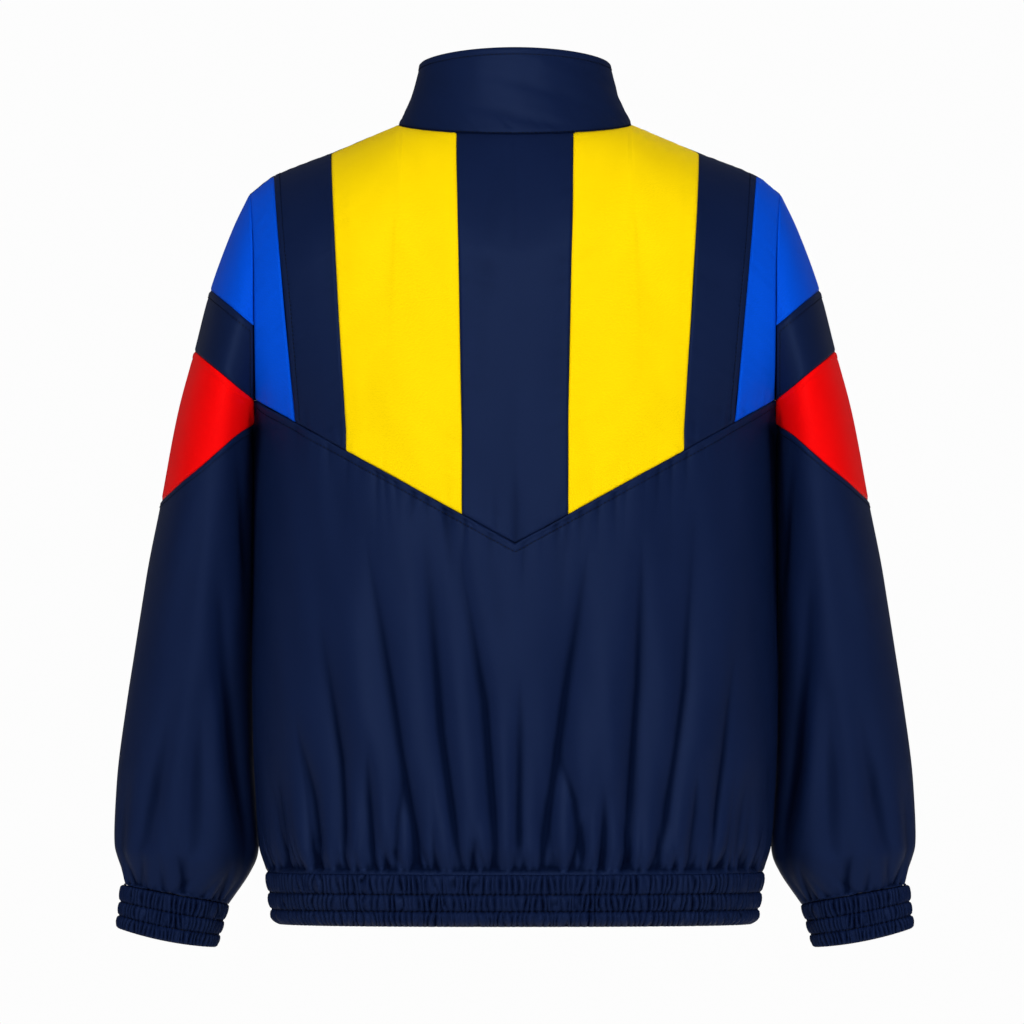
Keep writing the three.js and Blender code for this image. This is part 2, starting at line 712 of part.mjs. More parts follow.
// Places round an oval at even distances
function evenPlaces(pointAt, from, to, count) {
  const fine = 1440;
  const lengths = [0];
  let before = pointAt(from);
  for (let k = 1; k <= fine; k += 1) {
    const here = pointAt(mix(from, to, k / fine));
    lengths.push(lengths[k - 1] + here.distanceTo(before));
    before = here;
  }
  const places = [];
  let k = 0;
  for (let n = 0; n < count; n += 1) {
    const wanted = lengths[fine] * n / (count - 1);
    while (k < fine - 1 && lengths[k + 1] < wanted) {
      k += 1;
    }
    const share = (wanted - lengths[k]) / (lengths[k + 1] - lengths[k]);
    places.push(mix(from, to, (k + share) / fine));
  }
  return places;
}
function bandWall(places, pointAt, normalAt, rows, ring) {
  const outer = [];
  const inner = [];
  for (const row of rows) {
    outer.push(places.map((place, j) => {
      const lift = j % 2 ? RIB_HEIGHT * row.rib : 0;
      return pointAt(place, row.share).addScaledVector(normalAt(place, row.share), lift);
    }));
    inner.push(places.map((place) => pointAt(place, row.share).addScaledVector(normalAt(place, row.share), -WALL)));
  }
  return wallGeometry(outer, inner, { ring, plainInside: true });
}

// Hem band, open at the front where the zip runs through it
function hemPoint(angle, share) {
  const z = mix(HEM_SEAM_Z - SEAM_GAP / 2, HEM_BOTTOM_Z, share);
  const half = torsoHalf(z);
  const depth = Math.cos(angle) > 0 ? backDepth(z) : frontDepth(z);
  const round = (value) => Math.sign(value) * power(Math.abs(value), 2 / SECTION_POWER);
  return new THREE.Vector3(half * round(Math.sin(angle)), depth * round(Math.cos(angle)), z);
}
function hemNormal(angle, share) {
  const step = 0.01;
  const along = hemPoint(angle + step, share).sub(hemPoint(angle - step, share));
  return new THREE.Vector3(-along.y, along.x, 0).normalize().negate();
}
const zipAngle = power((ZIP_HALF_WIDTH + SEAM_GAP / 2) / torsoHalf(HEM_SEAM_Z), SECTION_POWER / 2);
const hemPlaces = evenPlaces((a) => hemPoint(a, 0), -Math.PI + zipAngle, Math.PI - zipAngle, 2 * HEM_RIBS + 1);
piece('hem_band', bandWall(hemPlaces, hemPoint, hemNormal, RIB_ROWS, false), ELASTIC);

// Cuffs
function cuffPoint(angle, share) {
  const top = SLEEVE[SLEEVE.length - 1];
  const at = (name) => mix(top[name], CUFF_BOTTOM[name], 0.005 + 0.995 * share);
  return ovalPoint(at('outX'), at('outZ'), at('inX'), at('inZ'), at('deep'), at('midY'), angle);
}
function cuffOutward(angle) {
  const normal = new THREE.Vector3();
  cuffNormal(angle, normal);
  return normal;
}
const cuffPlaces = evenPlaces((a) => cuffPoint(a, 0), 0, 2 * Math.PI, 2 * CUFF_RIBS + 1).slice(0, -1);
pair('cuff', bandWall(cuffPlaces, cuffPoint, cuffOutward, RIB_ROWS, true), ELASTIC);

// Stand collar, from the neck seam to its top edge
function collarPoint(side, sign, x, share) {
  const base = topLine(x, side);
  const round = Math.sqrt(1 - (x / NECK_HALF_WIDTH) ** 2);
  const inset = side > 0 ? 0 : ZIP_HALF_WIDTH;
  const topX = inset + (COLLAR_TOP_HALF_WIDTH - inset) * (x - inset) / (NECK_HALF_WIDTH - inset);
  const topY = side > 0 ? 60 * round : 80 * round;
  const topZ = side > 0 ? 52 + 13 * power(round, 1.6) : 52 - 47 * power(round, 1.5);
  const hollow = COLLAR_HOLLOW * 4 * share * (1 - share);
  const y = mix(base.y, topY, share) - hollow * round;
  const wide = mix(x, topX, share) - hollow * (side > 0 ? x : x - inset) / NECK_HALF_WIDTH;
  return new THREE.Vector3(sign * wide, side * y, mix(base.z, topZ, share));
}
const neckX = (columns) => columns.map((column) => column.top).filter((x) => x <= NECK_HALF_WIDTH);
const collarPath = [
  ...neckX(FRONT_COLUMNS).map((x) => ({ side: -1, sign: -1, x })).slice(0, -1),
  ...neckX(BACK_COLUMNS).map((x) => ({ side: 1, sign: -1, x })).reverse().slice(0, -1),
  ...neckX(BACK_COLUMNS).map((x) => ({ side: 1, sign: 1, x })),
  ...neckX(FRONT_COLUMNS).map((x) => ({ side: -1, sign: 1, x })).reverse().slice(1),
];
const COLLAR_SHARES = [0, 0.25, 0.5, 0.75, 1];
const collarPoints = COLLAR_SHARES.map((share) => collarPath.map((p) => collarPoint(p.side, p.sign, p.x, share)));
const collarNormals = collarPoints.map((row, i) => row.map((point, j) => {
  const before = row[Math.max(0, j - 1)];
  const after = row[Math.min(row.length - 1, j + 1)];
  const down = collarPoints[Math.max(0, i - 1)][j].clone().sub(collarPoints[Math.min(4, i + 1)][j]);
  const normal = after.clone().sub(before).cross(down).normalize();
  return normal.dot(new THREE.Vector3(point.x, point.y, 0)) < 0 ? normal.negate() : normal;
}));
collarPath.forEach((p, j) => {
  const body = topNormals(p.x, topLine(p.x, p.side).z, p.side);
  const turned = new THREE.Vector3(body.x * p.sign, body.y, body.z);
  collarNormals[0][j].copy(turned.normalize());
});
piece('collar', sewnWall(collarPoints, collarNormals), NAVY);

// Zip tapes down the middle of the front, from the collar's top to the hem
function zipLine() {
  const line = [];
  for (const share of [1, 0.75, 0.5, 0.25, 0]) {
    line.push(collarPoint(-1, 1, ZIP_HALF_WIDTH, share));
  }
  const neckZ = line[line.length - 1].z;
  for (const angle of ARM_ANGLES.slice(2)) {
    const z = mix(neckZ, ARMPIT_Z, (1 - Math.cos(angle)) / 2);
    line.push(plainBody(-1, ZIP_HALF_WIDTH, z));
  }
  for (const z of lowerLevels.slice(3)) {
    line.push(plainBody(-1, ZIP_HALF_WIDTH, z));
  }
  for (const row of RIB_ROWS.slice(2)) {
    line.push(hemPoint(Math.PI - zipAngle, row.share));
  }
  return line;
}
const zipRoute = zipLine();
const zipPoints = zipRoute.map((p) => [0, ZIP_HALF_WIDTH].map((x) => new THREE.Vector3(x, p.y, p.z)));
const zipNormals = zipRoute.map((p, i) => {
  const above = zipRoute[Math.max(0, i - 1)];
  const below = zipRoute[Math.min(zipRoute.length - 1, i + 1)];
  const normal = new THREE.Vector3(0, above.z - below.z, below.y - above.y).normalize().negate();
  return [normal, normal.clone()];
});
pair('zip_tape', sewnWall(zipPoints, zipNormals), ELASTIC);

// Slider and pull tab, worked out flat: x across, y up the zip, z away from the cloth
const SLIDER = { length: 11, width: 8.4, low: 0.3, high: 2.1 };
const BRIDGE = { width: 2.4, half: 3, holeHalf: 1.7, holeTop: 4.8, top: 6 };
const PULL = { length: 26, width: 7.4, eyeLength: 7.5, eyeWidth: 4.4, bar: 1.4, axisHeight: 3.45 };
function block(width, length, low, high, middleY = 0) {
  const shape = new THREE.Shape();
  const corner = Math.min(width, length) * 0.25;
  const x = width / 2;
  const y = length / 2;
  shape.absarc(x - corner, y - corner + middleY, corner, 0, Math.PI / 2);
  shape.absarc(-x + corner, y - corner + middleY, corner, Math.PI / 2, Math.PI);
  shape.absarc(-x + corner, -y + corner + middleY, corner, Math.PI, 1.5 * Math.PI);
  shape.absarc(x - corner, -y + corner + middleY, corner, 1.5 * Math.PI, 2 * Math.PI);
  const geometry = new THREE.ExtrudeGeometry(shape, { depth: high - low, bevelEnabled: false, curveSegments: 3 });
  return geometry.translate(0, 0, low);
}
function solidOf(geometry) {
  geometry.deleteAttribute('normal');
  geometry.deleteAttribute('uv');
  const merged = mergeVertices(geometry, 1e-4);
  const vertProperties = new Float32Array(merged.attributes.position.array);
  const triVerts = new Uint32Array(merged.index.array);
  return new wasm.Manifold(new wasm.Mesh({ numProp: 3, vertProperties, triVerts }));
}
function geometryOf(solid) {
  const mesh = solid.getMesh();
  const geometry = new THREE.BufferGeometry();
  geometry.setAttribute('position', new THREE.Float32BufferAttribute(mesh.vertProperties, 3));
  geometry.setIndex(new THREE.Uint32BufferAttribute(mesh.triVerts, 1));
  geometry.computeVertexNormals();
  return geometry;
}
function box(width, length, low, high, middleY = 0) {
  return new THREE.BoxGeometry(width, length, high - low).translate(0, middleY, (low + high) / 2);
}
const plate = solidOf(block(SLIDER.width, SLIDER.length, SLIDER.low, SLIDER.high));
const bridge = solidOf(box(BRIDGE.width, 2 * BRIDGE.half, SLIDER.high - 0.2, BRIDGE.top));
const bridgeHole = solidOf(box(BRIDGE.width * 2, 2 * BRIDGE.holeHalf, SLIDER.high, BRIDGE.holeTop));
const slider = plate.add(bridge.subtract(bridgeHole));
const tab = solidOf(block(PULL.width, PULL.length, -PULL.bar / 2, PULL.bar / 2, -PULL.length / 2 + PULL.bar / 2));
const eye = solidOf(box(PULL.eyeWidth, PULL.eyeLength, -PULL.bar, PULL.bar, -(PULL.eyeLength + PULL.bar) / 2));

// The zip is closed, so the slider stays at the collar's top edge and leans as the collar does
const sliderGroup = new THREE.Group();
const zipTop = collarPoint(-1, 1, ZIP_HALF_WIDTH, 0.88);
const zipLower = collarPoint(-1, 1, ZIP_HALF_WIDTH, 0.5);
const lean = Math.atan2(zipTop.y - zipLower.y, zipTop.z - zipLower.z);
sliderGroup.position.set(0, zipTop.y - 0.3, zipTop.z);
sliderGroup.rotation.set(Math.PI / 2 - lean, 0, 0);
jacket.add(sliderGroup);
const sliderMesh = piece('zip_slider', geometryOf(slider), METAL);
const pullMesh = piece('zip_pull', geometryOf(tab.subtract(eye)), METAL);
pullMesh.position.z = PULL.axisHeight;
sliderGroup.add(sliderMesh, pullMesh);

export default jacket;
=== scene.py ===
"""A windbreaker jacket, filled out with no wearer: its cloth, sewing, zip and a plain studio."""
import math

import bpy
import numpy as np
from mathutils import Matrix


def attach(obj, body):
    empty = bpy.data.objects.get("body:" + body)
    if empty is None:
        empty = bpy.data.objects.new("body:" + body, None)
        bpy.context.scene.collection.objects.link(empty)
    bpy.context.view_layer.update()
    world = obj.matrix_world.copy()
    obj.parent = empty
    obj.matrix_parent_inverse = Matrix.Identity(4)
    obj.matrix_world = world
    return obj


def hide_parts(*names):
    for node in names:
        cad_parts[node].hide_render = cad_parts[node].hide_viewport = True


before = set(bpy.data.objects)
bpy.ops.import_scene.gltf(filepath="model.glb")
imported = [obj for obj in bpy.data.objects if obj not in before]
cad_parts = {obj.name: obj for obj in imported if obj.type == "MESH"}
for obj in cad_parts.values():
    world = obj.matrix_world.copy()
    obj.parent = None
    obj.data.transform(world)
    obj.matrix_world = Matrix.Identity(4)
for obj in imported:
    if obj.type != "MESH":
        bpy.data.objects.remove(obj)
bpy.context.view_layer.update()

bl_info = {
    "name": "Windbreaker Jacket",
    "version": (1, 0, 0),
    "blender": (4, 5, 0),
    "location": "View3D > Sidebar > Jacket",
    "description": "Sews a colour-blocked windbreaker jacket round its frame",
    "category": "Add Mesh",
}

# Shapes are worked out in millimetres and written to the meshes in metres
MM = 0.001
BODY = "jacket"

# The cut, as the solids have it
NECK_HALF = 102
NECK_BACK = 72
NECK_FRONT = 90
NECK_BACK_DROP = 9.5
NECK_FRONT_DROP = 75
ARMPIT_HALF = 227
SHOULDER_HALF = 232
SHOULDER_Z = -61
ARMPIT_Z = -268
CHEVRON_SIDE_Z = -242
CHEVRON_POINT_Z = -366.5
HEM_SEAM_Z = -654
HEM_BOTTOM_Z = -700
CHEST_FULLNESS = 38
CHEST_Z = -164
GIRTH_Z = -330.0
SECTION_POWER = 2.4
ROLL_AT_MIDDLE = 110
ROLL_AT_NECK = 86
ROLL_SHOULDER_GAIN = 17
ZIP_HALF = 6.3
COLLAR_TOP_HALF = 83.5
COLLAR_HOLLOW = 3

# Torso sections: half width, and how far back and front stand from the middle
TORSO = [
    {"z": -700, "half": 211, "back": 115, "front": 114},
    {"z": -671, "half": 215, "back": 118.5, "front": 117.5},
    {"z": -654, "half": 217.5, "back": 120, "front": 119},
    {"z": -631, "half": 224.5, "back": 127, "front": 126},
    {"z": -582, "half": 228, "back": 130, "front": 129},
    {"z": -516, "half": 229.7, "back": 131, "front": 130},
    {"z": -416, "half": 228.8, "back": 130, "front": 128},
    {"z": -268, "half": 227, "back": 128, "front": 124},
    {"z": -164, "half": 227, "back": 124, "front": 116},
    {"z": -60, "half": 232, "back": 118, "front": 112},
    {"z": 20, "half": 232, "back": 116, "front": 110},
]

SHOULDER = [
    {"x": 102, "z": 0},
    {"x": 161, "z": -25},
    {"x": 211, "z": -45},
    {"x": 232, "z": -61},
]

# Sleeve stations from armhole to cuff: outer point, inner point, half depth, middle's place along Y
SLEEVE = [
    {"out_x": 232, "out_z": -61, "in_x": 227, "in_z": -268, "deep": 77, "mid_y": 0},
    {"out_x": 248, "out_z": -95, "in_x": 229.4, "in_z": -270, "deep": 81, "mid_y": -1},
    {"out_x": 266, "out_z": -145, "in_x": 229.6, "in_z": -275, "deep": 84, "mid_y": -3},
    {"out_x": 280, "out_z": -199, "in_x": 229, "in_z": -285, "deep": 85, "mid_y": -5},
    {"out_x": 292, "out_z": -242, "in_x": 228.6, "in_z": -301, "deep": 84, "mid_y": -7},
    {"out_x": 300, "out_z": -277, "in_x": 228.4, "in_z": -320, "deep": 82, "mid_y": -9},
    {"out_x": 310, "out_z": -329, "in_x": 228.7, "in_z": -355, "deep": 78, "mid_y": -12},
    {"out_x": 321, "out_z": -381, "in_x": 229, "in_z": -398, "deep": 74, "mid_y": -16},
    {"out_x": 327, "out_z": -416, "in_x": 229.3, "in_z": -430, "deep": 70, "mid_y": -19},
    {"out_x": 335, "out_z": -468, "in_x": 229.4, "in_z": -478, "deep": 65, "mid_y": -24},
    {"out_x": 340, "out_z": -503, "in_x": 229.2, "in_z": -512, "deep": 61, "mid_y": -27},
    {"out_x": 347, "out_z": -555, "in_x": 228.2, "in_z": -562, "deep": 55, "mid_y": -32},
    {"out_x": 350, "out_z": -590, "in_x": 226.2, "in_z": -598, "deep": 51, "mid_y": -35},
    {"out_x": 352, "out_z": -625, "in_x": 224.6, "in_z": -634, "deep": 46, "mid_y": -38},
    {"out_x": 351, "out_z": -642, "in_x": 232, "in_z": -655, "deep": 41, "mid_y": -39},
    {"out_x": 345, "out_z": -666, "in_x": 251, "in_z": -683, "deep": 28, "mid_y": -40},
]
CUFF_BOTTOM = {"out_x": 349, "out_z": -704, "in_x": 262, "in_z": -721, "deep": 27, "mid_y": -40}

SLEEVE_CUTS = {
    "cap": {"out_x": 266, "out_z": -146, "in_x": 227, "in_z": -177},
    "band": {"out_x": 280, "out_z": -199, "in_x": 227, "in_z": -242},
    "red": {"out_x": 310, "out_z": -329, "in_x": 227, "in_z": -262},
}

# Columns of back and front: place at the shoulder and at the armpit's height
BACK_COLUMNS = [
    {"top": 0, "low": 0},
    {"top": 25, "low": 23},
    {"top": 51, "low": 46},
    {"top": 70, "low": 64},
    {"top": 87, "low": 82},
    {"top": 98, "low": 98},
    {"top": 102, "low": 114},
    {"top": 131, "low": 130},
    {"top": 161, "low": 147},
    {"top": 186, "low": 170},
    {"top": 211, "low": 191},
    {"top": 219, "low": 206},
    {"top": 226, "low": 218},
    {"top": 230, "low": 224.5},
    {"top": 232, "low": 227},
]
FRONT_COLUMNS = [
    {"top": 6.3, "low": 6.3},
    {"top": 28, "low": 28},
    {"top": 50, "low": 52},
    {"top": 70, "low": 76},
    {"top": 87, "low": 98},
    {"top": 98, "low": 118},
    {"top": 102, "low": 136},
    {"top": 128, "low": 154},
    {"top": 156, "low": 172},
    {"top": 184, "low": 190},
    {"top": 206, "low": 205},
    {"top": 220, "low": 217},
    {"top": 228, "low": 224},
    {"top": 232, "low": 227},
]
CENTRE_EDGE = 2
YELLOW_EDGE = 8
BLUE_EDGE = 10
BACK_EDGE = len(BACK_COLUMNS) - 1
FRONT_EDGE = len(FRONT_COLUMNS) - 1

# Panels beside the centre strip: the back columns they lie between, the columns of their mesh, their
# finish, and whether the outer edge is stitched down
BACK_PANELS = [
    {"name": "back_yellow", "first": CENTRE_EDGE, "last": YELLOW_EDGE, "columns": 72, "finish": "yellow",
     "stitched": False},
    {"name": "back_navy", "first": YELLOW_EDGE, "last": BLUE_EDGE, "columns": 40, "finish": "navy",
     "stitched": True},
    {"name": "back_blue", "first": BLUE_EDGE, "last": BACK_EDGE, "columns": 44, "finish": "blue",
     "stitched": False},
]

# Sleeve pieces from the armhole down: the cuts above and below, the height where the lower cut meets
# the armhole, the mesh, the finish and how the cloth is held
SLEEVE_PIECES = [
    {"name": "sleeve_cap", "above": None, "below": "cap", "end_z": SLEEVE_CUTS["cap"]["in_z"],
     "columns": 130, "rows": 34, "finish": "blue", "held": "stretched"},
    {"name": "sleeve_band", "above": "cap", "below": "band", "end_z": CHEVRON_SIDE_Z,
     "columns": 140, "rows": 20, "finish": "navy", "held": "stretched"},
    {"name": "sleeve_red", "above": "band", "below": "red", "end_z": SLEEVE_CUTS["red"]["in_z"],
     "columns": 150, "rows": 36, "finish": "red", "held": "stretched"},
    {"name": "sleeve_lower", "above": "red", "below": None, "end_z": None,
     "columns": 190, "rows": 86, "finish": "navy", "held": "gathered"},
]

# Rows and columns of the other meshes
CENTRE_MESH = {"columns": 31, "rows": 88}
PANEL_ROWS = 84
LOWER_BACK_MESH = {"columns": 212, "rows": 104}
FRONT_MESH = {"columns": 165, "upper_rows": 40, "lower_rows": 56}
COLLAR_MESH = {"columns": 241, "rows": 42}
HEM_COLUMNS = 1261
CUFF_COLUMNS = 324
ZIP_STEPS = {"collar": 30, "front": 150, "hem": 12}
FINE_COLUMNS = 500
FINE_FRONT_COLUMNS = 900

# Long soft troughs of the lower back, each through three places, with depth and half width
BACK_FOLDS = [
    {"top_x": 132, "top_z": -350, "mid_x": 108, "mid_z": -500, "hem_x": 84, "deep": 6.5, "wide": 11},
    {"top_x": 78, "top_z": -372, "mid_x": 65, "mid_z": -530, "hem_x": 47, "deep": 6.0, "wide": 9},
    {"top_x": 48, "top_z": -378, "mid_x": 27, "mid_z": -505, "hem_x": 15, "deep": 7.0, "wide": 10},
    {"top_x": -68, "top_z": -348, "mid_x": -45, "mid_z": -490, "hem_x": -22, "deep": 7.0, "wide": 11},
    {"top_x": -112, "top_z": -345, "mid_x": -108, "mid_z": -490, "hem_x": -97, "deep": 6.5, "wide": 11},
    {"top_x": -158, "top_z": -335, "mid_x": -150, "mid_z": -490, "hem_x": -127, "deep": 6.0, "wide": 11},
    {"top_x": 170, "top_z": -440, "mid_x": 155, "mid_z": -555, "hem_x": 150, "deep": 5.5, "wide": 9},
    {"top_x": 193, "top_z": -520, "mid_x": 180, "mid_z": -590, "hem_x": 172, "deep": 5.0, "wide": 8},
    {"top_x": -194, "top_z": -440, "mid_x": -186, "mid_z": -545, "hem_x": -175, "deep": 5.5, "wide": 9},
    {"top_x": 212, "top_z": -555, "mid_x": 209, "mid_z": -600, "hem_x": 203, "deep": 4.0, "wide": 7},
    {"top_x": 131, "top_z": -535, "mid_x": 129, "mid_z": -590, "hem_x": 124, "deep": 4.5, "wide": 7},
    {"top_x": -36, "top_z": -540, "mid_x": -52, "mid_z": -590, "hem_x": -61, "deep": 4.5, "wide": 7},
    {"top_x": -163, "top_z": -550, "mid_x": -160, "mid_z": -600, "hem_x": -152, "deep": 4.0, "wide": 7},
    {"top_x": -5, "top_z": -470, "mid_x": -4, "mid_z": -570, "hem_x": -3, "deep": 4.5, "wide": 8},
    {"top_x": -206, "top_z": -560, "mid_x": -203, "mid_z": -600, "hem_x": -199, "deep": 4.0, "wide": 7},
    {"top_x": 98, "top_z": -560, "mid_x": 103, "mid_z": -605, "hem_x": 106, "deep": 3.5, "wide": 6},
    {"top_x": -80, "top_z": -575, "mid_x": -79, "mid_z": -615, "hem_x": -76, "deep": 3.5, "wide": 6},
]
FRONT_FOLDS = [
    {"top_x": 52, "top_z": -400, "mid_x": 46, "mid_z": -520, "hem_x": 38, "deep": 6.0, "wide": 10},
    {"top_x": 106, "top_z": -350, "mid_x": 92, "mid_z": -500, "hem_x": 80, "deep": 6.5, "wide": 11},
    {"top_x": 137, "top_z": -460, "mid_x": 126, "mid_z": -560, "hem_x": 120, "deep": 5.5, "wide": 9},
    {"top_x": 171, "top_z": -390, "mid_x": 163, "mid_z": -520, "hem_x": 155, "deep": 6.0, "wide": 10},
    {"top_x": 199, "top_z": -510, "mid_x": 193, "mid_z": -590, "hem_x": 187, "deep": 4.5, "wide": 9},
    {"top_x": 66, "top_z": -550, "mid_x": 62, "mid_z": -600, "hem_x": 58, "deep": 4.0, "wide": 7},
    {"top_x": -48, "top_z": -440, "mid_x": -42, "mid_z": -550, "hem_x": -34, "deep": 5.5, "wide": 9},
    {"top_x": -94, "top_z": -370, "mid_x": -84, "mid_z": -510, "hem_x": -73, "deep": 6.5, "wide": 11},
    {"top_x": -129, "top_z": -490, "mid_x": -121, "mid_z": -570, "hem_x": -113, "deep": 5.0, "wide": 9},
    {"top_x": -167, "top_z": -400, "mid_x": -158, "mid_z": -530, "hem_x": -147, "deep": 6.0, "wide": 10},
    {"top_x": -197, "top_z": -520, "mid_x": -190, "mid_z": -590, "hem_x": -184, "deep": 4.5, "wide": 9},
    {"top_x": -98, "top_z": -560, "mid_x": -97, "mid_z": -610, "hem_x": -93, "deep": 3.5, "wide": 7},
]

# Soft creases of the sleeve: place along it, turn round it, drift, depth, half width and half length
SLEEVE_CREASES = [
    {"t": 0.80, "turn": 1.05, "drift": -0.30, "deep": 4.5, "wide": 12, "long": 95},
    {"t": 0.78, "turn": 1.75, "drift": -0.10, "deep": 5.0, "wide": 13, "long": 110},
    {"t": 0.74, "turn": 2.45, "drift": 0.25, "deep": 5.5, "wide": 12, "long": 100},
    {"t": 0.60, "turn": 2.15, "drift": 0.20, "deep": 4.0, "wide": 14, "long": 90},
    {"t": 0.50, "turn": 1.35, "drift": -0.20, "deep": 3.0, "wide": 15, "long": 85},
    {"t": 0.42, "turn": 2.60, "drift": 0.35, "deep": 4.0, "wide": 11, "long": 70},
    {"t": 0.86, "turn": 0.45, "drift": -0.15, "deep": 3.5, "wide": 10, "long": 60},
    {"t": 0.79, "turn": -0.70, "drift": 0.20, "deep": 4.5, "wide": 12, "long": 95},
    {"t": 0.76, "turn": -1.50, "drift": 0.10, "deep": 5.0, "wide": 13, "long": 110},
    {"t": 0.68, "turn": -2.30, "drift": -0.25, "deep": 5.5, "wide": 12, "long": 95},
    {"t": 0.52, "turn": -1.90, "drift": -0.20, "deep": 4.5, "wide": 13, "long": 75},
    {"t": 0.46, "turn": -1.10, "drift": 0.30, "deep": 3.5, "wide": 13, "long": 75},
]

# Sewing
THREAD_RADIUS = 0.36
THREAD_CROWN = 0.8
THREAD_FLATNESS = 0.7
THREAD_LIFT = 0.15
SHIRRING_LIFT = 0.1
SEAM_SOFTNESS = 1.3
SEAM_DEPTH = 0.9
RIDGE_HEIGHT = 0.35
GROOVE_DEPTH = 0.4
GROOVE_SOFTNESS = 0.9
RIDGE_START = 1.8
TOPSTITCH = 6.5
V_STITCH = 7.8
NECK_STITCH = 1.5
NECK_SEAM_LAP = 1.0
PUCKER_HEIGHT = 0.17
PUCKER_WAVES = (9.0, 13.0, 21.0)

# Folds and gathers
FOLD_DEPTH = 1.6
FOLD_BOTTOM = 1.6
GATHER_DEPTH = 1.9
LONG_GATHER = 2.2
BACK_GATHER_LENGTH = 590
BACK_GATHER_SPACING = 8.5
FRONT_GATHER_LENGTH = 295
FRONT_GATHER_SPACING = 7.5
CUFF_GATHER_SPACING = 9
WIDE_GATHER_SPACING = 25
WIDE_GATHER_SHARE = 0.7
SLACK_AT_SEAM = 1.5
SLACK_SLOPE = 3.5
SLEEVE_SLACK_AT_SEAM = 1.0
SLEEVE_SLACK_SLOPE = 2.5
CENTRE_TROUGH_DEPTH = 1.5
CENTRE_TROUGH_TOP_Z = -275
TUCK_REACH_X = 212
TUCK_CENTRE_X = 80
TUCK_SPREAD = 55
# Crease mask: smoothing rounds, and the depth in mm at which its painted shade is full
HOLLOW_ROUNDS = 32
HOLLOW_DEPTH = 1.3

# Slow waves of open cloth: wavelength and height of each, and how much longer they run down the cloth
PANEL_WAVES = [(70, 0.9), (34, 0.35)]
BACK_WAVES = [(95, 1.8), (46, 0.9), (24, 0.35)]
FRONT_WAVES = [(95, 1.6), (46, 0.8), (24, 0.3)]
SLEEVE_WAVES = [(80, 1.2), (37, 0.5)]
COLLAR_WAVES = [(60, 0.8), (27, 0.3)]
PANEL_STRETCH = 0.35
BODY_STRETCH = 0.22
COLLAR_STRETCH = 1.6
SLEEVE_WAVE_LENGTH = 160

# Seeds of the uneven places
SEEDS = {
    "centre": 1,
    "panels": 3,
    "panel_puckers": 40,
    "back_gathers": 11,
    "back_wide_gathers": 12,
    "back_waves": 5,
    "tucks": 31,
    "front_gathers": 17,
    "front_wide_gathers": 27,
    "front_waves": 8,
    "front_puckers": 60,
    "sleeve_gathers": 71,
    "sleeve_waves": 15,
    "collar_waves": 44,
    "collar_puckers": 90,
    "hem_ribs": 3,
    "cuff_ribs": 9,
}

# Distances over which reliefs fade near the sides of a piece
SIDE_FADE = 22
HEM_FADE = 40

# Side fullness of the body, which closes the view between body and sleeve
FULLNESS_LOW_Z = -530
FULLNESS_FULL_Z = -440
SIDE_FULLNESS = 1.3
ARMPIT_FULLNESS = 2.4
ARMPIT_FULLNESS_Z = ARMPIT_Z - 6
ARMPIT_FULLNESS_REACH = 13
SIDE_REACH = 9

# Sleeve
SLEEVE_LENGTH = 630.0
SLEEVE_RADIUS = 58.0
CUFF_RADIUS = 46
SHOULDER_BLEND = 0.22

# Collar
COLLAR_TOP_BACK = 60.0
COLLAR_TOP_FRONT = 80.0
COLLAR_SIDE_Z = 53
COLLAR_BACK_RISE = 12.6
COLLAR_FRONT_DROP = 48
COLLAR_WALL = 1.8
COLLAR_ROUNDS = 14
TURNED_EDGE = 0.2

# Elastic bands
CUFF_SAG = 2.6
CUFF_DEPTH_RADIUS = 28
HEM_CORNER_TURN = 3.5
BAND_INSET = 0.3
BAND_LINES = [0, 0.38, 0.70, 1.0]
BAND_STEPS = [0, 0.05, 0.13, 0.3, 0.5, 0.7, 0.87, 0.95]
PINCH_DEPTH = 1.2
PINCH_WIDTH = 0.022
HEM_PUFF = {"bulge": 1.6, "rib": 3.2}
CUFF_PUFF = {"bulge": 1.1, "rib": 3.3}

# Zip
TOOTH_PITCH = 2.5
TOOTH = {"wide": 3.4, "deep": 1.6, "tall": 1.4, "round": 0.3}
TOOTH_OFFSET = 1.1
TOOTH_PROUD = 0.4
FIRST_TOOTH = 11
TAPE_SUNK = 0.4

# Finishes: threads and grain lines a metre, noise scales, weave depth in metres, tint of the shine
CLOTH_THREADS = 2400
TAPE_THREADS = 900
GRAIN_LINES = 900
FIBRE_SCALE = 1300
UNEVEN_SCALE = 22
TWIST_SCALE = 2500
WEAR_SCALE = 700
FLOOR_GRAIN_SCALE = 3
WEAVE_DEPTH = 0.0001
TAPE_WEAVE_DEPTH = 0.0003
NAVY_GLEAM = (0.055, 0.085, 0.17)
YELLOW_GLEAM = (0.09, 0.06, 0.01)
BLUE_GLEAM = (0.01, 0.05, 0.12)
RED_GLEAM = (0.12, 0.02, 0.02)
DULL_METAL = (0.20, 0.21, 0.23)
BRIGHT_METAL = (0.42, 0.43, 0.45)
FLOOR_COLOUR = (0.88, 0.88, 0.88)
SEEN_WORLD = (0.98, 0.98, 0.98)
WORLD_STRENGTH = 0.12

# Camera and floor, from the photograph's frame: 0.87 mm a pixel at the jacket's middle
PIXEL = 0.87
FRAME_PIXELS = 1024
MIDDLE_PIXEL_X = 515
NECK_PIXEL_Y = 122
CAMERA_DISTANCE = 14.0
BACK_PLANE = 0.07
SENSOR = 36.0
FLOOR_Z = -1.45
FLOOR_RADIUS = 5
AIM_Z = -0.35

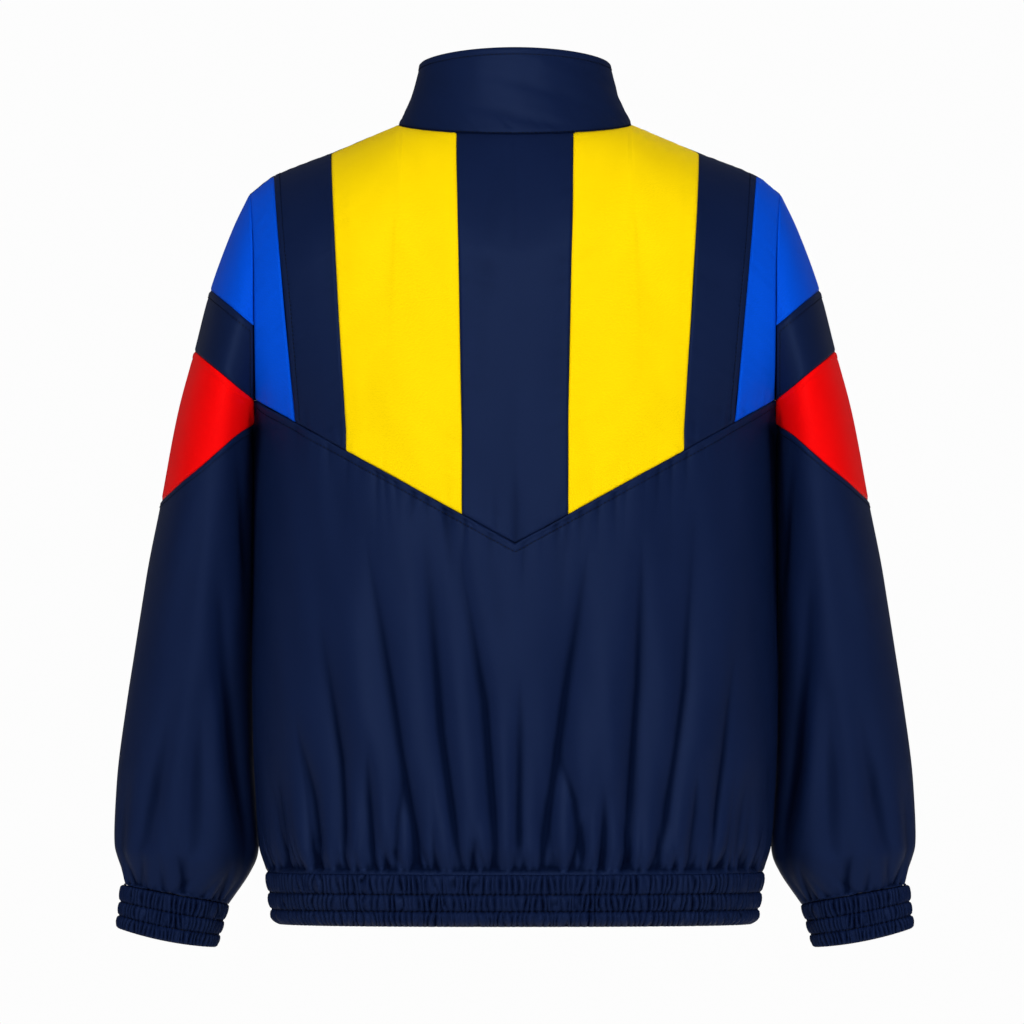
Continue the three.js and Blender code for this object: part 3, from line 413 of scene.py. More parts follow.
# Lights: place and size in metres, watts, and whether each one shines in the cloth and lights it
LIGHTS = [
    {"name": "Left soft box", "place": (3.6, 4.4, 1.9), "size": 1.6, "watts": 158, "shines": False},
    {"name": "Right soft box", "place": (-3.6, 4.4, 1.5), "size": 1.6, "watts": 148, "shines": False},
    {"name": "Gleam card", "place": (0.5, 5.8, 1.3), "size": 1.0, "watts": 155, "lights": False},
    {"name": "Fill light", "place": (-0.6, 5.4, 0.2), "size": 1.6, "watts": 38, "shines": False},
    {"name": "Top light", "place": (0.0, 2.4, 3.2), "size": 1.4, "watts": 36, "shines": False},
    {"name": "Front light", "place": (-1.2, -4.6, 1.4), "size": 2.0, "watts": 130, "shines": False},
]


def run_of(line):
    """Distance along a line of points, from its start."""
    return np.concatenate([[0], np.cumsum(np.linalg.norm(np.diff(line, axis=0), axis=-1))])


def curve_of(rows, key, value):
    """A smooth curve through one column of a table."""
    places = sorted(rows, key=lambda row: row[key])
    at = np.array([row[key] for row in places], float)
    values = np.array([row[value] for row in places], float)
    before = np.maximum(np.arange(len(at)) - 1, 0)
    after = np.minimum(np.arange(len(at)) + 1, len(at) - 1)
    slopes = (values[after] - values[before]) / (at[after] - at[before])

    def curve(x):
        x = np.clip(np.asarray(x, float), at[0], at[-1])
        i = np.clip(np.searchsorted(at, x, side="left") - 1, 0, len(at) - 2)
        span = at[i + 1] - at[i]
        s = (x - at[i]) / span
        keep = (1 + 2 * s) * (1 - s) ** 2
        bend = slopes[i] * s * (1 - s) ** 2 + slopes[i + 1] * s * s * (s - 1)
        return keep * values[i] + (1 - keep) * values[i + 1] + bend * span

    return curve


TORSO_HALF = curve_of(TORSO, "z", "half")
BACK_DEPTH = curve_of(TORSO, "z", "back")
FRONT_DEPTH = curve_of(TORSO, "z", "front")
SHOULDER_LINE = curve_of(SHOULDER, "x", "z")
STATIONS = [{**row, "t": i / (len(SLEEVE) - 1)} for i, row in enumerate(SLEEVE)]
SLEEVE_CURVES = {name: curve_of(STATIONS, "t", name) for name in SLEEVE[0]}


def power(base, exponent):
    """A power that is 0 for anything below 0."""
    return np.maximum(base, 0.0) ** exponent


def mix(a, b, share):
    """A place between two values."""
    return a + (b - a) * share


def smooth(low, high, x):
    """Rises softly from 0 at low to 1 at high; with high below low it falls."""
    s = np.clip((x - low) / (high - low), 0, 1)
    return s * s * (3 - 2 * s)


def points(x, y, z):
    """One array of points from separate coordinates."""
    return np.stack(np.broadcast_arrays(x, y, z), -1).astype(float)


def unit(v):
    """The same directions with length 1."""
    return v / np.maximum(np.linalg.norm(v, axis=-1, keepdims=True), 1e-9)


def form_half(z):
    """Half width of the body's section, which goes on past the armhole at the chest."""
    rise = np.clip((z - ARMPIT_Z) / (CHEST_Z - ARMPIT_Z), 0, 1)
    chest = ARMPIT_HALF + CHEST_FULLNESS * power(np.sin(rise * math.pi / 2), 1.3)
    return np.where(z < ARMPIT_Z, TORSO_HALF(z), chest)


def top_line(x, side):
    """The neck and shoulder seam: how far it stands from the middle, and its height."""
    round_ = np.sqrt(np.maximum(1 - (x / NECK_HALF) ** 2, 0))
    if side > 0:
        y, z = NECK_BACK * round_, -NECK_BACK_DROP * power(round_, 1.2)
    else:
        y, z = NECK_FRONT * round_, -NECK_FRONT_DROP * power(round_, 1.3)
    neck = x < NECK_HALF
    return np.where(neck, y, 0.0), np.where(neck, z, SHOULDER_LINE(x))


def roll(depth, x):
    """How far the cloth has rolled over from the neck and shoulder seam at a depth below it."""
    outward = np.minimum(1, x / NECK_HALF)
    past_neck = power((x - NECK_HALF) / (SHOULDER_HALF - NECK_HALF), 1)
    reach = mix(ROLL_AT_MIDDLE, ROLL_AT_NECK, outward) + ROLL_SHOULDER_GAIN * past_neck
    bend = mix(1.3, 2, outward * outward)
    s = np.clip(depth / reach, 0, 1)
    return power(1 - power(1 - s, bend), 1 / bend)


def plain_body(side, x, z):
    """Body cloth without folds; side is 1 for the back and -1 for the front."""
    across = np.abs(x)
    depth = BACK_DEPTH(z) if side > 0 else FRONT_DEPTH(z)
    full = depth * power(1 - power(across / form_half(z), SECTION_POWER), 1 / SECTION_POWER)
    top_y, top_z = top_line(across, side)
    return points(x, side * mix(top_y, full, roll(top_z - z, across)), z)


def armhole_x(z):
    """How far out the armhole seam lies at a height."""
    height = np.clip((z - ARMPIT_Z) / (SHOULDER_Z - ARMPIT_Z), 0, 1)
    return ARMPIT_HALF + (SHOULDER_HALF - ARMPIT_HALF) * height ** 4


def column_x(top, low, z, top_z):
    """How far out a column lies on its way from the top seam to the hem."""
    down = np.clip((top_z - z) / (top_z - ARMPIT_Z), 0, 1)
    edge_z = mix(SHOULDER_Z, ARMPIT_Z, down)
    eased = power(down, 1.1)
    straight = mix(SHOULDER_HALF, ARMPIT_HALF, eased)
    share = (low / ARMPIT_HALF) ** 8
    upper = mix(top, low, eased) + (armhole_x(edge_z) - straight) * share
    return np.where(z < ARMPIT_Z, low * TORSO_HALF(z) / ARMPIT_HALF, upper)


def chevron_at(top, low, top_z):
    """Height where a column meets the slanted seam of the back."""
    z = mix(CHEVRON_POINT_Z, CHEVRON_SIDE_Z, low / ARMPIT_HALF)
    for _ in range(12):
        z = mix(CHEVRON_POINT_Z, CHEVRON_SIDE_Z, column_x(top, low, z, top_z) / ARMPIT_HALF)
    return z


def even_columns(columns, side, first, last, count):
    """Places between two columns of a table, at even distances round the body."""
    fine = np.linspace(first, last, 400)
    steps = np.arange(len(columns))
    top = np.interp(fine, steps, [c["top"] for c in columns])
    low = np.interp(fine, steps, [c["low"] for c in columns])
    along = run_of(plain_body(side, low, np.full_like(low, GIRTH_Z)))
    wanted = np.linspace(0, along[-1], count)
    return np.interp(wanted, along, top), np.interp(wanted, along, low)


def spaced(count, length, first=0.0, last=0.0, reach=10.0):
    """Shares along a piece, closer together within reach of its first and last edges."""
    fine = np.linspace(0, length, 1500)
    near_first = 1 - smooth(reach, reach + 4, fine)
    near_last = 1 - smooth(reach, reach + 4, length - fine)
    density = 1 + first * near_first + last * near_last
    total = np.concatenate([[0], np.cumsum((density[1:] + density[:-1]) / 2)])
    return np.interp(np.linspace(0, total[-1], count), total, fine) / length


def normals_of(grid):
    """Outward unit normals of a grid of points; rows run down and columns run round."""
    down = np.gradient(grid, axis=0)
    across = np.gradient(grid, axis=1)
    return unit(np.cross(down, across))


def facing(normal, outward):
    """Turns a grid's normals so that they face away from the wearer."""
    return normal if np.sum(normal * outward) > 0 else -normal


def away_from(centre, grid, normal):
    """Turns each normal of a tube so that it points away from the tube's middle."""
    return np.where(np.sum(normal * (grid - centre), -1, keepdims=True) < 0, -normal, normal)


def lengths(grid, axis):
    """Distance along each row or column from its start."""
    step = np.linalg.norm(np.diff(grid, axis=axis), axis=-1)
    pad = [(0, 0), (0, 0)]
    pad[axis] = (1, 0)
    return np.cumsum(np.pad(step, pad), axis=axis)


def seam_relief(grid, edges):
    """Seams sink where the edges are turned in, and a stitched line leaves a soft groove."""
    relief = np.zeros(grid.shape[:2])
    down, across = lengths(grid, 0), lengths(grid, 1)
    distance = {
        "top": down,
        "bottom": down[-1:, :] - down,
        "start": across,
        "end": across[:, -1:] - across,
    }
    for edge, line in edges.items():
        d = distance[edge]
        relief -= SEAM_DEPTH * np.exp(-((d / SEAM_SOFTNESS) ** 2))
        if line:
            ridge = smooth(0, RIDGE_START, d) * (1 - smooth(line - 1.2, line + 1.0, d))
            relief += RIDGE_HEIGHT * ridge
            relief -= GROOVE_DEPTH * np.exp(-(((d - line) / GROOVE_SOFTNESS) ** 2))
    return relief


def trough(away, wide, lean):
    """A fold's section: a narrow bottom between broad shoulders, steeper on one side."""
    side = np.where(away > 0, 1 + lean, 1 - lean)
    distance = np.hypot(away / side, FOLD_BOTTOM) - FOLD_BOTTOM
    return np.exp(-distance / wide)


def fold_relief(folds, x, z):
    """Long troughs that rise from the hem gathers and fade upwards."""
    relief = np.zeros(x.shape)
    for fold in folds:
        heights = [HEM_SEAM_Z, fold["mid_z"], fold["top_z"]]
        middle = np.interp(z, heights, [fold["hem_x"], fold["mid_x"], fold["top_x"]])
        bow = (fold["mid_x"] - mix(fold["hem_x"], fold["top_x"], 0.5)) * 0.12
        height = np.clip((z - HEM_SEAM_Z) / (fold["top_z"] - HEM_SEAM_Z), 0, 1.4)
        middle = middle + bow * np.sin(height * 4)
        strength = (1 - smooth(0.45, 1.12, height)) * mix(0.45, 1, smooth(0, 0.22, height))
        wide = fold["wide"] * mix(0.85, 2.0, np.clip(height, 0, 1))
        lean = 0.12 * math.copysign(1, fold["hem_x"])
        relief -= FOLD_DEPTH * fold["deep"] * strength * trough(x - middle, wide, lean)
    return relief


def pleat_relief(along, height, half, spacing, seed, tall=1.0):
    """Short gathers above an elastic seam, uneven in place, height, depth and slant."""
    chance = np.random.default_rng(seed)
    relief = np.zeros(along.shape)
    place = spacing / 2 - half
    while place < half:
        deep = GATHER_DEPTH * chance.uniform(1.0, 3.0)
        reach = chance.uniform(9, 24) * tall
        if chance.random() < 0.25:
            reach *= 2.2
        wide = chance.uniform(1.8, 3.6)
        slant = chance.normal(0, 0.16)
        away = along - place - slant * height
        shape = trough(away, wide + 0.10 * height, chance.uniform(-0.4, 0.4))
        relief -= deep * shape * np.exp(-height / reach)
        place += spacing * chance.uniform(0.65, 1.35)
    return relief


def soft_noise(u, v, seed, sizes):
    """Gentle unevenness from a few slow waves; sizes are their wavelengths and heights."""
    chance = np.random.default_rng(seed)
    relief = np.zeros(u.shape)
    for wavelength, height in sizes:
        for _ in range(3):
            turn = chance.uniform(0, 2 * math.pi)
            phase = chance.uniform(0, 2 * math.pi)
            way = u * math.cos(turn) + v * math.sin(turn)
            relief += height / 3 * np.sin(2 * math.pi * way / wavelength + phase)
    return relief


# Meshes

def new_object(name, mesh):
    """A new piece in the scene, at the origin."""
    piece = bpy.data.objects.new(name, mesh)
    bpy.context.scene.collection.objects.link(piece)
    return piece


def deselect_all():
    for other in list(bpy.context.selected_objects):
        other.select_set(False)


def select_only(piece):
    deselect_all()
    bpy.context.view_layer.objects.active = piece
    piece.select_set(True)


def grid_mesh(name, grid, ring=False, flip=False):
    """A sheet of quads with a map in metres that follows the cloth."""
    rows, columns = grid.shape[:2]
    index = np.arange(rows * columns).reshape(rows, columns)
    if ring:
        index = np.concatenate([index, index[:, :1]], 1)
    a, b = index[:-1, :-1], index[:-1, 1:]
    c, d = index[1:, 1:], index[1:, :-1]
    quads = np.stack([a, d, c, b] if flip else [a, b, c, d], -1).reshape(-1, 4)
    wrapped = np.concatenate([grid, grid[:, :1]], 1) if ring else grid
    across = lengths(wrapped, 1)
    down = lengths(wrapped, 0)
    middle = across - across[:, across.shape[1] // 2][:, None]
    across_even = middle.mean(axis=0)[None, :] * 0.5 + middle * 0.5
    uv = np.stack([across_even, -down], -1) * MM
    ua, ub = uv[:-1, :-1], uv[:-1, 1:]
    uc, ud = uv[1:, 1:], uv[1:, :-1]
    corners = np.stack([ua, ud, uc, ub] if flip else [ua, ub, uc, ud], 2).reshape(-1, 2)
    mesh = bpy.data.meshes.new(name)
    mesh.vertices.add(rows * columns)
    mesh.vertices.foreach_set("co", (grid * MM).ravel())
    mesh.loops.add(quads.size)
    mesh.loops.foreach_set("vertex_index", quads.ravel())
    mesh.polygons.add(len(quads))
    mesh.polygons.foreach_set("loop_start", np.arange(0, quads.size, 4))
    mesh.polygons.foreach_set("loop_total", np.full(len(quads), 4))
    mesh.polygons.foreach_set("use_smooth", np.ones(len(quads), bool))
    mesh.uv_layers.new(name="Cloth")
    mesh.uv_layers["Cloth"].data.foreach_set("uv", corners.ravel())
    mesh.update(calc_edges=True)
    mesh.validate()
    return mesh


def sew(name, grid, outward, material, cut, held, ring=False, wall=None):
    """Makes one cloth piece: a sheet on its solid's form, with a thin wall."""
    sizes = bpy.context.scene.jacket_sizes
    normal = normals_of(grid)
    flip = np.sum(normal * outward) > 0
    mesh = grid_mesh(name + "_cloth", grid, ring, flip)
    piece = new_object(name + "_cloth", mesh)
    # Crease mask for the finish: it paints shade into folds and gathers, darkening the colour and dimming
    # the shine there
    shade_mask = mesh.attributes.new("Crease shade", "FLOAT", "POINT")
    depth = crease_shade_mask(grid, np.broadcast_to(outward, grid.shape), ring)
    shade_mask.data.foreach_set("value", depth.ravel())
    mesh.materials.append(material)
    modifier = piece.modifiers.new("Cloth wall", "SOLIDIFY")
    modifier.thickness = wall * MM if wall else sizes.cloth_wall
    modifier.offset = -1
    modifier.use_rim = True
    select_only(piece)
    bpy.ops.object.modifier_apply(modifier=modifier.name)
    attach(piece, BODY)
    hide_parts(name)
    return piece


def crease_shade_mask(grid, outward, ring):
    """How far each point lies in a hollow: 0 on open cloth, 1 at the bottom of a crease; the finish
    paints shade by it.
    """
    smoothed = grid.copy()
    for _ in range(HOLLOW_ROUNDS):
        before, after = np.roll(smoothed, 1, 1), np.roll(smoothed, -1, 1)
        if not ring:
            before[:, 0], after[:, -1] = smoothed[:, 0], smoothed[:, -1]
        smoothed = (before + 2 * smoothed + after) / 4
    for _ in range(HOLLOW_ROUNDS // 8):
        padded = np.concatenate([smoothed[:1], smoothed, smoothed[-1:]])
        smoothed = (padded[:-2] + 2 * smoothed + padded[2:]) / 4
    depth = np.sum((smoothed - grid) * outward, -1)
    return np.clip(depth / HOLLOW_DEPTH, 0, 1)


def mirror_grid(grid):
    """The same grid for the other hand."""
    return grid * np.array([-1.0, 1.0, 1.0])


def both_hands(grid, outward):
    """The same shape for the left and for the right."""
    yield "l", grid, outward
    yield "r", mirror_grid(grid), mirror_grid(outward)


# Lines to be stitched, as group, points and directions away from the cloth
SEWN_LINES = []


def line_from(grid, outward, edge, distance):
    """A line on the cloth at a distance from one edge, with the directions away from the cloth."""
    if edge in ("start", "end"):
        grid = np.swapaxes(grid, 0, 1)
        outward = np.swapaxes(outward, 0, 1)
        edge = "top" if edge == "start" else "bottom"
    if edge == "bottom":
        grid = grid[::-1]
        outward = outward[::-1]
    down = lengths(grid, 0)
    line, away = [], []
    for column in range(grid.shape[1]):
        if down[-1, column] < distance + 0.5:
            continue
        at = [np.interp(distance, down[:, column], grid[:, column, k]) for k in range(3)]
        way = [np.interp(distance, down[:, column], outward[:, column, k]) for k in range(3)]
        line.append(at)
        away.append(way)
    line, away = np.array(line), unit(np.array(away))
    return line + away * THREAD_LIFT, away


def note_line(group, grid, outward, edge, distance):
    """Keeps a line on the cloth for the stitching."""
    line, away = line_from(grid, outward, edge, distance)
    if len(line) > 2:
        SEWN_LINES.append((group, line, away))


def note_shirring(grid, outward):
    """Each inner seam of an elastic band lies on one row of its grid."""
    for seam in range(1, len(BAND_LINES) - 1):
        row = seam * len(BAND_STEPS)
        SEWN_LINES.append(("shirring", grid[row] + outward[row] * SHIRRING_LIFT, outward[row]))


def thread_mesh(name, lines, pitch, length):
    """Every stitch of some lines, as small flattened bars in one mesh."""
    stitches = []
    bar = np.array([[-1, -1, -1], [1, -1, -1], [1, 1, -1], [-1, 1, -1],
                    [-1, -1, 1], [1, -1, 1], [1, 1, 1], [-1, 1, 1]], float)
    sides = [[0, 3, 2, 1], [4, 5, 6, 7], [0, 1, 5, 4], [1, 2, 6, 5], [2, 3, 7, 6], [3, 0, 4, 7]]
    for line, away in lines:
        along = run_of(line)
        middles = np.arange(pitch / 2, along[-1] - pitch / 2, pitch)

        def at(values, place):
            return np.stack([np.interp(place, along, values[:, k]) for k in range(3)], -1)

        centre = at(line, middles)
        run = unit(at(line, middles + length / 2) - at(line, middles - length / 2))
        up = unit(at(away, middles))
        side = unit(np.cross(up, run))
        corners = []
        for lengthwise, sideways, upward in bar:
            wide = THREAD_RADIUS * (THREAD_CROWN if upward > 0 else 1)
            corners.append(centre + run * lengthwise * length / 2
                           + side * sideways * wide
                           + up * upward * THREAD_RADIUS * THREAD_FLATNESS)
        stitches.append(np.stack(corners, 1).reshape(-1, 3))
    verts = np.concatenate(stitches)
    base = np.arange(0, len(verts), len(bar))[:, None, None]
    quads = (base + np.array(sides)[None]).reshape(-1, 4)
    mesh = bpy.data.meshes.new(name)
    mesh.from_pydata((verts * MM).tolist(), [], quads.tolist())
    mesh.update()
    return mesh


# Materials

def shade_tree(name):
    """A new material with its shader joined to the output."""
    material = bpy.data.materials.new(name)
    material.use_nodes = True
    nodes = material.node_tree.nodes
    nodes.clear()
    out = nodes.new("ShaderNodeOutputMaterial")
    shader = nodes.new("ShaderNodeBsdfPrincipled")
    material.node_tree.links.new(shader.outputs["BSDF"], out.inputs["Surface"])
    return material, nodes, material.node_tree.links, shader


def math_node(nodes, links, kind, first, second=None, third=None):
    """A sum in the shader; each value is a constant or the output of another node."""
    node = nodes.new("ShaderNodeMath")
    node.operation = kind
    for socket, value in zip(node.inputs, (first, second, third)):
        if value is None:
            continue
        if isinstance(value, (int, float)):
            socket.default_value = value
        else:
            links.new(value, socket)
    return node.outputs[0]


def noise_node(nodes, links, place, scale, detail=2):
    """Cloudy unevenness from 0 to 1."""
    node = nodes.new("ShaderNodeTexNoise")
    node.inputs["Scale"].default_value = scale
    node.inputs["Detail"].default_value = detail
    links.new(place, node.inputs["Vector"])
    return node.outputs["Fac"]


def colour_mix(nodes, links, share, first, second):
    """Blends two colours; each is a constant or the output of another node."""
    node = nodes.new("ShaderNodeMix")
    node.data_type = "RGBA"
    links.new(share, node.inputs["Factor"])
    for socket, colour in (("A", first), ("B", second)):
        if isinstance(colour, bpy.types.NodeSocket):
            links.new(colour, node.inputs[socket])
        else:
            node.inputs[socket].default_value = (*colour, 1)
    return node.outputs["Result"]


def tinted(colour, gain, lift=0.0):
    """A lighter or darker tone of a cloth's colour."""
    return [min(1.0, part * gain + lift) for part in colour[:3]]


def weave_group():
    """Fine close weave of a light polyester: crossing threads, a diagonal grain and slow unevenness."""
    group = bpy.data.node_groups.new("Close weave", "ShaderNodeTree")
    face = group.interface
    face.new_socket("Vector", in_out="INPUT", socket_type="NodeSocketVector")
    threads = face.new_socket("Threads per metre", in_out="INPUT", socket_type="NodeSocketFloat")
    threads.default_value = CLOTH_THREADS
    face.new_socket("Height", in_out="OUTPUT", socket_type="NodeSocketFloat")
    face.new_socket("Grain", in_out="OUTPUT", socket_type="NodeSocketFloat")
    face.new_socket("Slow", in_out="OUTPUT", socket_type="NodeSocketFloat")
    nodes, links = group.nodes, group.links
    given = nodes.new("NodeGroupInput")
    out = nodes.new("NodeGroupOutput")
    split = nodes.new("ShaderNodeSeparateXYZ")
    links.new(given.outputs["Vector"], split.inputs[0])
    count = given.outputs["Threads per metre"]
    turn = math_node(nodes, links, "MULTIPLY", count, 2 * math.pi)
    warp = math_node(nodes, links, "SINE", math_node(nodes, links, "MULTIPLY", split.outputs["X"], turn))
    weft = math_node(nodes, links, "SINE", math_node(nodes, links, "MULTIPLY", split.outputs["Y"], turn))
    crossing = math_node(nodes, links, "MULTIPLY", warp, weft)
    diagonal = math_node(nodes, links, "ADD", split.outputs["X"], split.outputs["Y"])
    slope = math_node(nodes, links, "MULTIPLY", diagonal, 2 * math.pi * GRAIN_LINES)
    slant = math_node(nodes, links, "SINE", slope)
    fine = noise_node(nodes, links, given.outputs["Vector"], FIBRE_SCALE, 3)
    slow = noise_node(nodes, links, given.outputs["Vector"], UNEVEN_SCALE)
    height = math_node(nodes, links, "MULTIPLY_ADD", crossing, 0.25, fine)
    height = math_node(nodes, links, "MULTIPLY_ADD", slant, 0.12, height)
    grain = math_node(nodes, links, "MULTIPLY_ADD", slant, 0.06, fine)
    links.new(height, out.inputs["Height"])
    links.new(grain, out.inputs["Grain"])
    links.new(slow, out.inputs["Slow"])
    return group


def cloth_material(name, colour, group, depth=WEAVE_DEPTH, rough=0.47, threads=CLOTH_THREADS,
                   gleam=NAVY_GLEAM, depth_shade=0.75):
    """Smooth close-woven polyester with a soft shine; the map follows the cloth. Creases get painted
    shade, as strong as depth_shade, and a duller shine.
    """
    material, nodes, links, shader = shade_tree(name)
    place = nodes.new("ShaderNodeUVMap")
    place.uv_map = "Cloth"
    weave = nodes.new("ShaderNodeGroup")
    weave.node_tree = group
    weave.inputs["Threads per metre"].default_value = threads
    links.new(place.outputs["UV"], weave.inputs["Vector"])
    blend = math_node(nodes, links, "MULTIPLY_ADD", weave.outputs["Slow"], 0.12, weave.outputs["Grain"])
    spread = nodes.new("ShaderNodeMapRange")
    spread.inputs["From Min"].default_value = 0.40
    spread.inputs["From Max"].default_value = 0.72
    links.new(blend, spread.inputs["Value"])
    open_cloth = colour_mix(nodes, links, spread.outputs["Result"],
                            tinted(colour, 0.80), tinted(colour, 1.14, 0.0015))
    # Painted shade: the crease mask blends the colour towards a dark tone in folds
    hollow = nodes.new("ShaderNodeAttribute")
    hollow.attribute_name = "Crease shade"
    painted_shade = math_node(nodes, links, "MULTIPLY", hollow.outputs["Fac"], depth_shade)
    shaded = colour_mix(nodes, links, painted_shade, open_cloth, tinted(colour, 0.30))
    links.new(shaded, shader.inputs["Base Color"])
    gloss = math_node(nodes, links, "MULTIPLY_ADD", weave.outputs["Grain"], 0.16, rough - 0.08)
    links.new(gloss, shader.inputs["Roughness"])
    # Painted shade also dims the shine in creases
    brightest = max(gleam)
    shine = math_node(nodes, links, "MULTIPLY_ADD", hollow.outputs["Fac"], -0.95 * brightest, brightest)
    links.new(shine, shader.inputs["Specular IOR Level"])
    shader.inputs["Specular Tint"].default_value = (*[part / brightest for part in gleam], 1)
    bump = nodes.new("ShaderNodeBump")
    bump.inputs["Strength"].default_value = 0.6
    bump.inputs["Distance"].default_value = depth
    links.new(weave.outputs["Height"], bump.inputs["Height"])
    links.new(bump.outputs["Normal"], shader.inputs["Normal"])
    return material


def thread_material(name, colour):
    """Polyester sewing thread with a fine twist."""
    material, nodes, links, shader = shade_tree(name)
    place = nodes.new("ShaderNodeTexCoord")
    twist = noise_node(nodes, links, place.outputs["Object"], TWIST_SCALE)
    twisted = colour_mix(nodes, links, twist, tinted(colour, 0.6), tinted(colour, 1.3))
    links.new(twisted, shader.inputs["Base Color"])
    shader.inputs["Roughness"].default_value = 0.6
    shader.inputs["Specular IOR Level"].default_value = 0.1
    return material


def metal_material(name):
    """Brushed zip metal, a little worn."""
    material, nodes, links, shader = shade_tree(name)
    place = nodes.new("ShaderNodeTexCoord")
    wear = noise_node(nodes, links, place.outputs["Object"], WEAR_SCALE, 4)
    worn = colour_mix(nodes, links, wear, DULL_METAL, BRIGHT_METAL)
    links.new(worn, shader.inputs["Base Color"])
    shader.inputs["Metallic"].default_value = 1
    gloss = math_node(nodes, links, "MULTIPLY_ADD", wear, 0.2, 0.22)
    links.new(gloss, shader.inputs["Roughness"])
    return material


# Finishes made so far, by name
MATERIALS = {}


def finish_of(name):
    """Each finish is made once, from the colours in the sidebar."""
    if not MATERIALS:
        colours = bpy.context.scene.jacket_colours
        group = weave_group()
        MATERIALS["navy"] = cloth_material("Navy polyester", colours.navy, group)
        MATERIALS["yellow"] = cloth_material(
            "Yellow polyester", colours.yellow, group, gleam=YELLOW_GLEAM, depth_shade=0.35)
        MATERIALS["blue"] = cloth_material("Blue polyester", colours.blue, group, gleam=BLUE_GLEAM)
        MATERIALS["red"] = cloth_material("Red polyester", colours.red, group, gleam=RED_GLEAM)
        MATERIALS["elastic"] = cloth_material(
            "Shirred navy polyester", colours.elastic, group, rough=0.52, depth_shade=1.0)
        MATERIALS["tape"] = cloth_material(
            "Zip tape", colours.tape, group, depth=TAPE_WEAVE_DEPTH, rough=0.75, threads=TAPE_THREADS)
        MATERIALS["thread"] = thread_material("Navy thread", colours.thread)
        MATERIALS["metal"] = metal_material("Zip metal")
    return MATERIALS[name]


# Shapes of the pieces

def upper_back_grid(first, last, columns, rows, edges, seed, both=False):
    """An upper back panel between two columns, from the top seam to the slanted seam."""
    even = even_columns(BACK_COLUMNS, 1, first, last, FINE_COLUMNS)
    width = 52 if both else 110
    place = spaced(columns, width, 0 if both else 1.2, 1.2, 8) * (FINE_COLUMNS - 1)
    top, low = (np.interp(place, np.arange(FINE_COLUMNS), values) for values in even)
    share = spaced(rows, 350, 1.5, 2.0)[:, None]
    _, top_z = top_line(top, 1)
    z = mix(top_z[None, :], chevron_at(top, low, top_z)[None, :], share)
    x = column_x(top[None, :], low[None, :], z, top_z[None, :])
    if both:
        z = np.concatenate([z[:, :0:-1], z], 1)
        x = np.concatenate([-x[:, :0:-1], x], 1)
    grid = relaxed(plain_body(1, x, z))
    outward = facing(normals_of(grid), np.array([0, 1.0, 0.15]))
    relief = seam_relief(grid, edges)
    down = lengths(grid, 0)
    middle = smooth(0, 25, down) * smooth(0, 20, down[-1:] - down)
    relief += middle * soft_noise(x, z * PANEL_STRETCH, seed, PANEL_WAVES)
    relief += pucker_relief(grid, edges, seed + SEEDS["panel_puckers"])
    if both:
        near_point = 1 - smooth(CHEVRON_POINT_Z + 4, CENTRE_TROUGH_TOP_Z, z)
        relief -= CENTRE_TROUGH_DEPTH * trough(x + 1, 6, 0) * near_point
    return grid + outward * relief[..., None], outward


def relaxed(grid, rounds=70):
    """Evens out the bend that runs down from the corner of neck and shoulder seams."""
    y = grid[..., 1].copy()
    for _ in range(rounds):
        y[:, 1:-1] = (y[:, :-2] + 2 * y[:, 1:-1] + y[:, 2:]) / 4
    across = lengths(grid, 1)
    share = smooth(4, 55, lengths(grid, 0))
    share = share * smooth(0, SIDE_FADE, across) * smooth(0, SIDE_FADE, across[:, -1:] - across)
    result = grid.copy()
    result[..., 1] = mix(grid[..., 1], y, share)
    return result


def pucker_relief(grid, edges, seed):
    """The small tucks that a stitched seam draws into light cloth."""
    chance = np.random.default_rng(seed)
    relief = np.zeros(grid.shape[:2])
    down, across = lengths(grid, 0), lengths(grid, 1)
    cases = {
        "top": (down, across),
        "bottom": (down[-1:] - down, across),
        "start": (across, down),
        "end": (across[:, -1:] - across, down),
    }
    for edge in edges:
        away, along = cases[edge]
        wander = np.zeros(along.shape)
        for wavelength in PUCKER_WAVES:
            phase = chance.uniform(0, 2 * math.pi)
            wander += np.sin(2 * math.pi * along / wavelength + phase)
        reach = 11 + 5 * np.sin(along / 17 + chance.uniform(0, 6))
        relief += PUCKER_HEIGHT * wander * np.exp(-away / reach) * smooth(0, 3, away)
    return relief


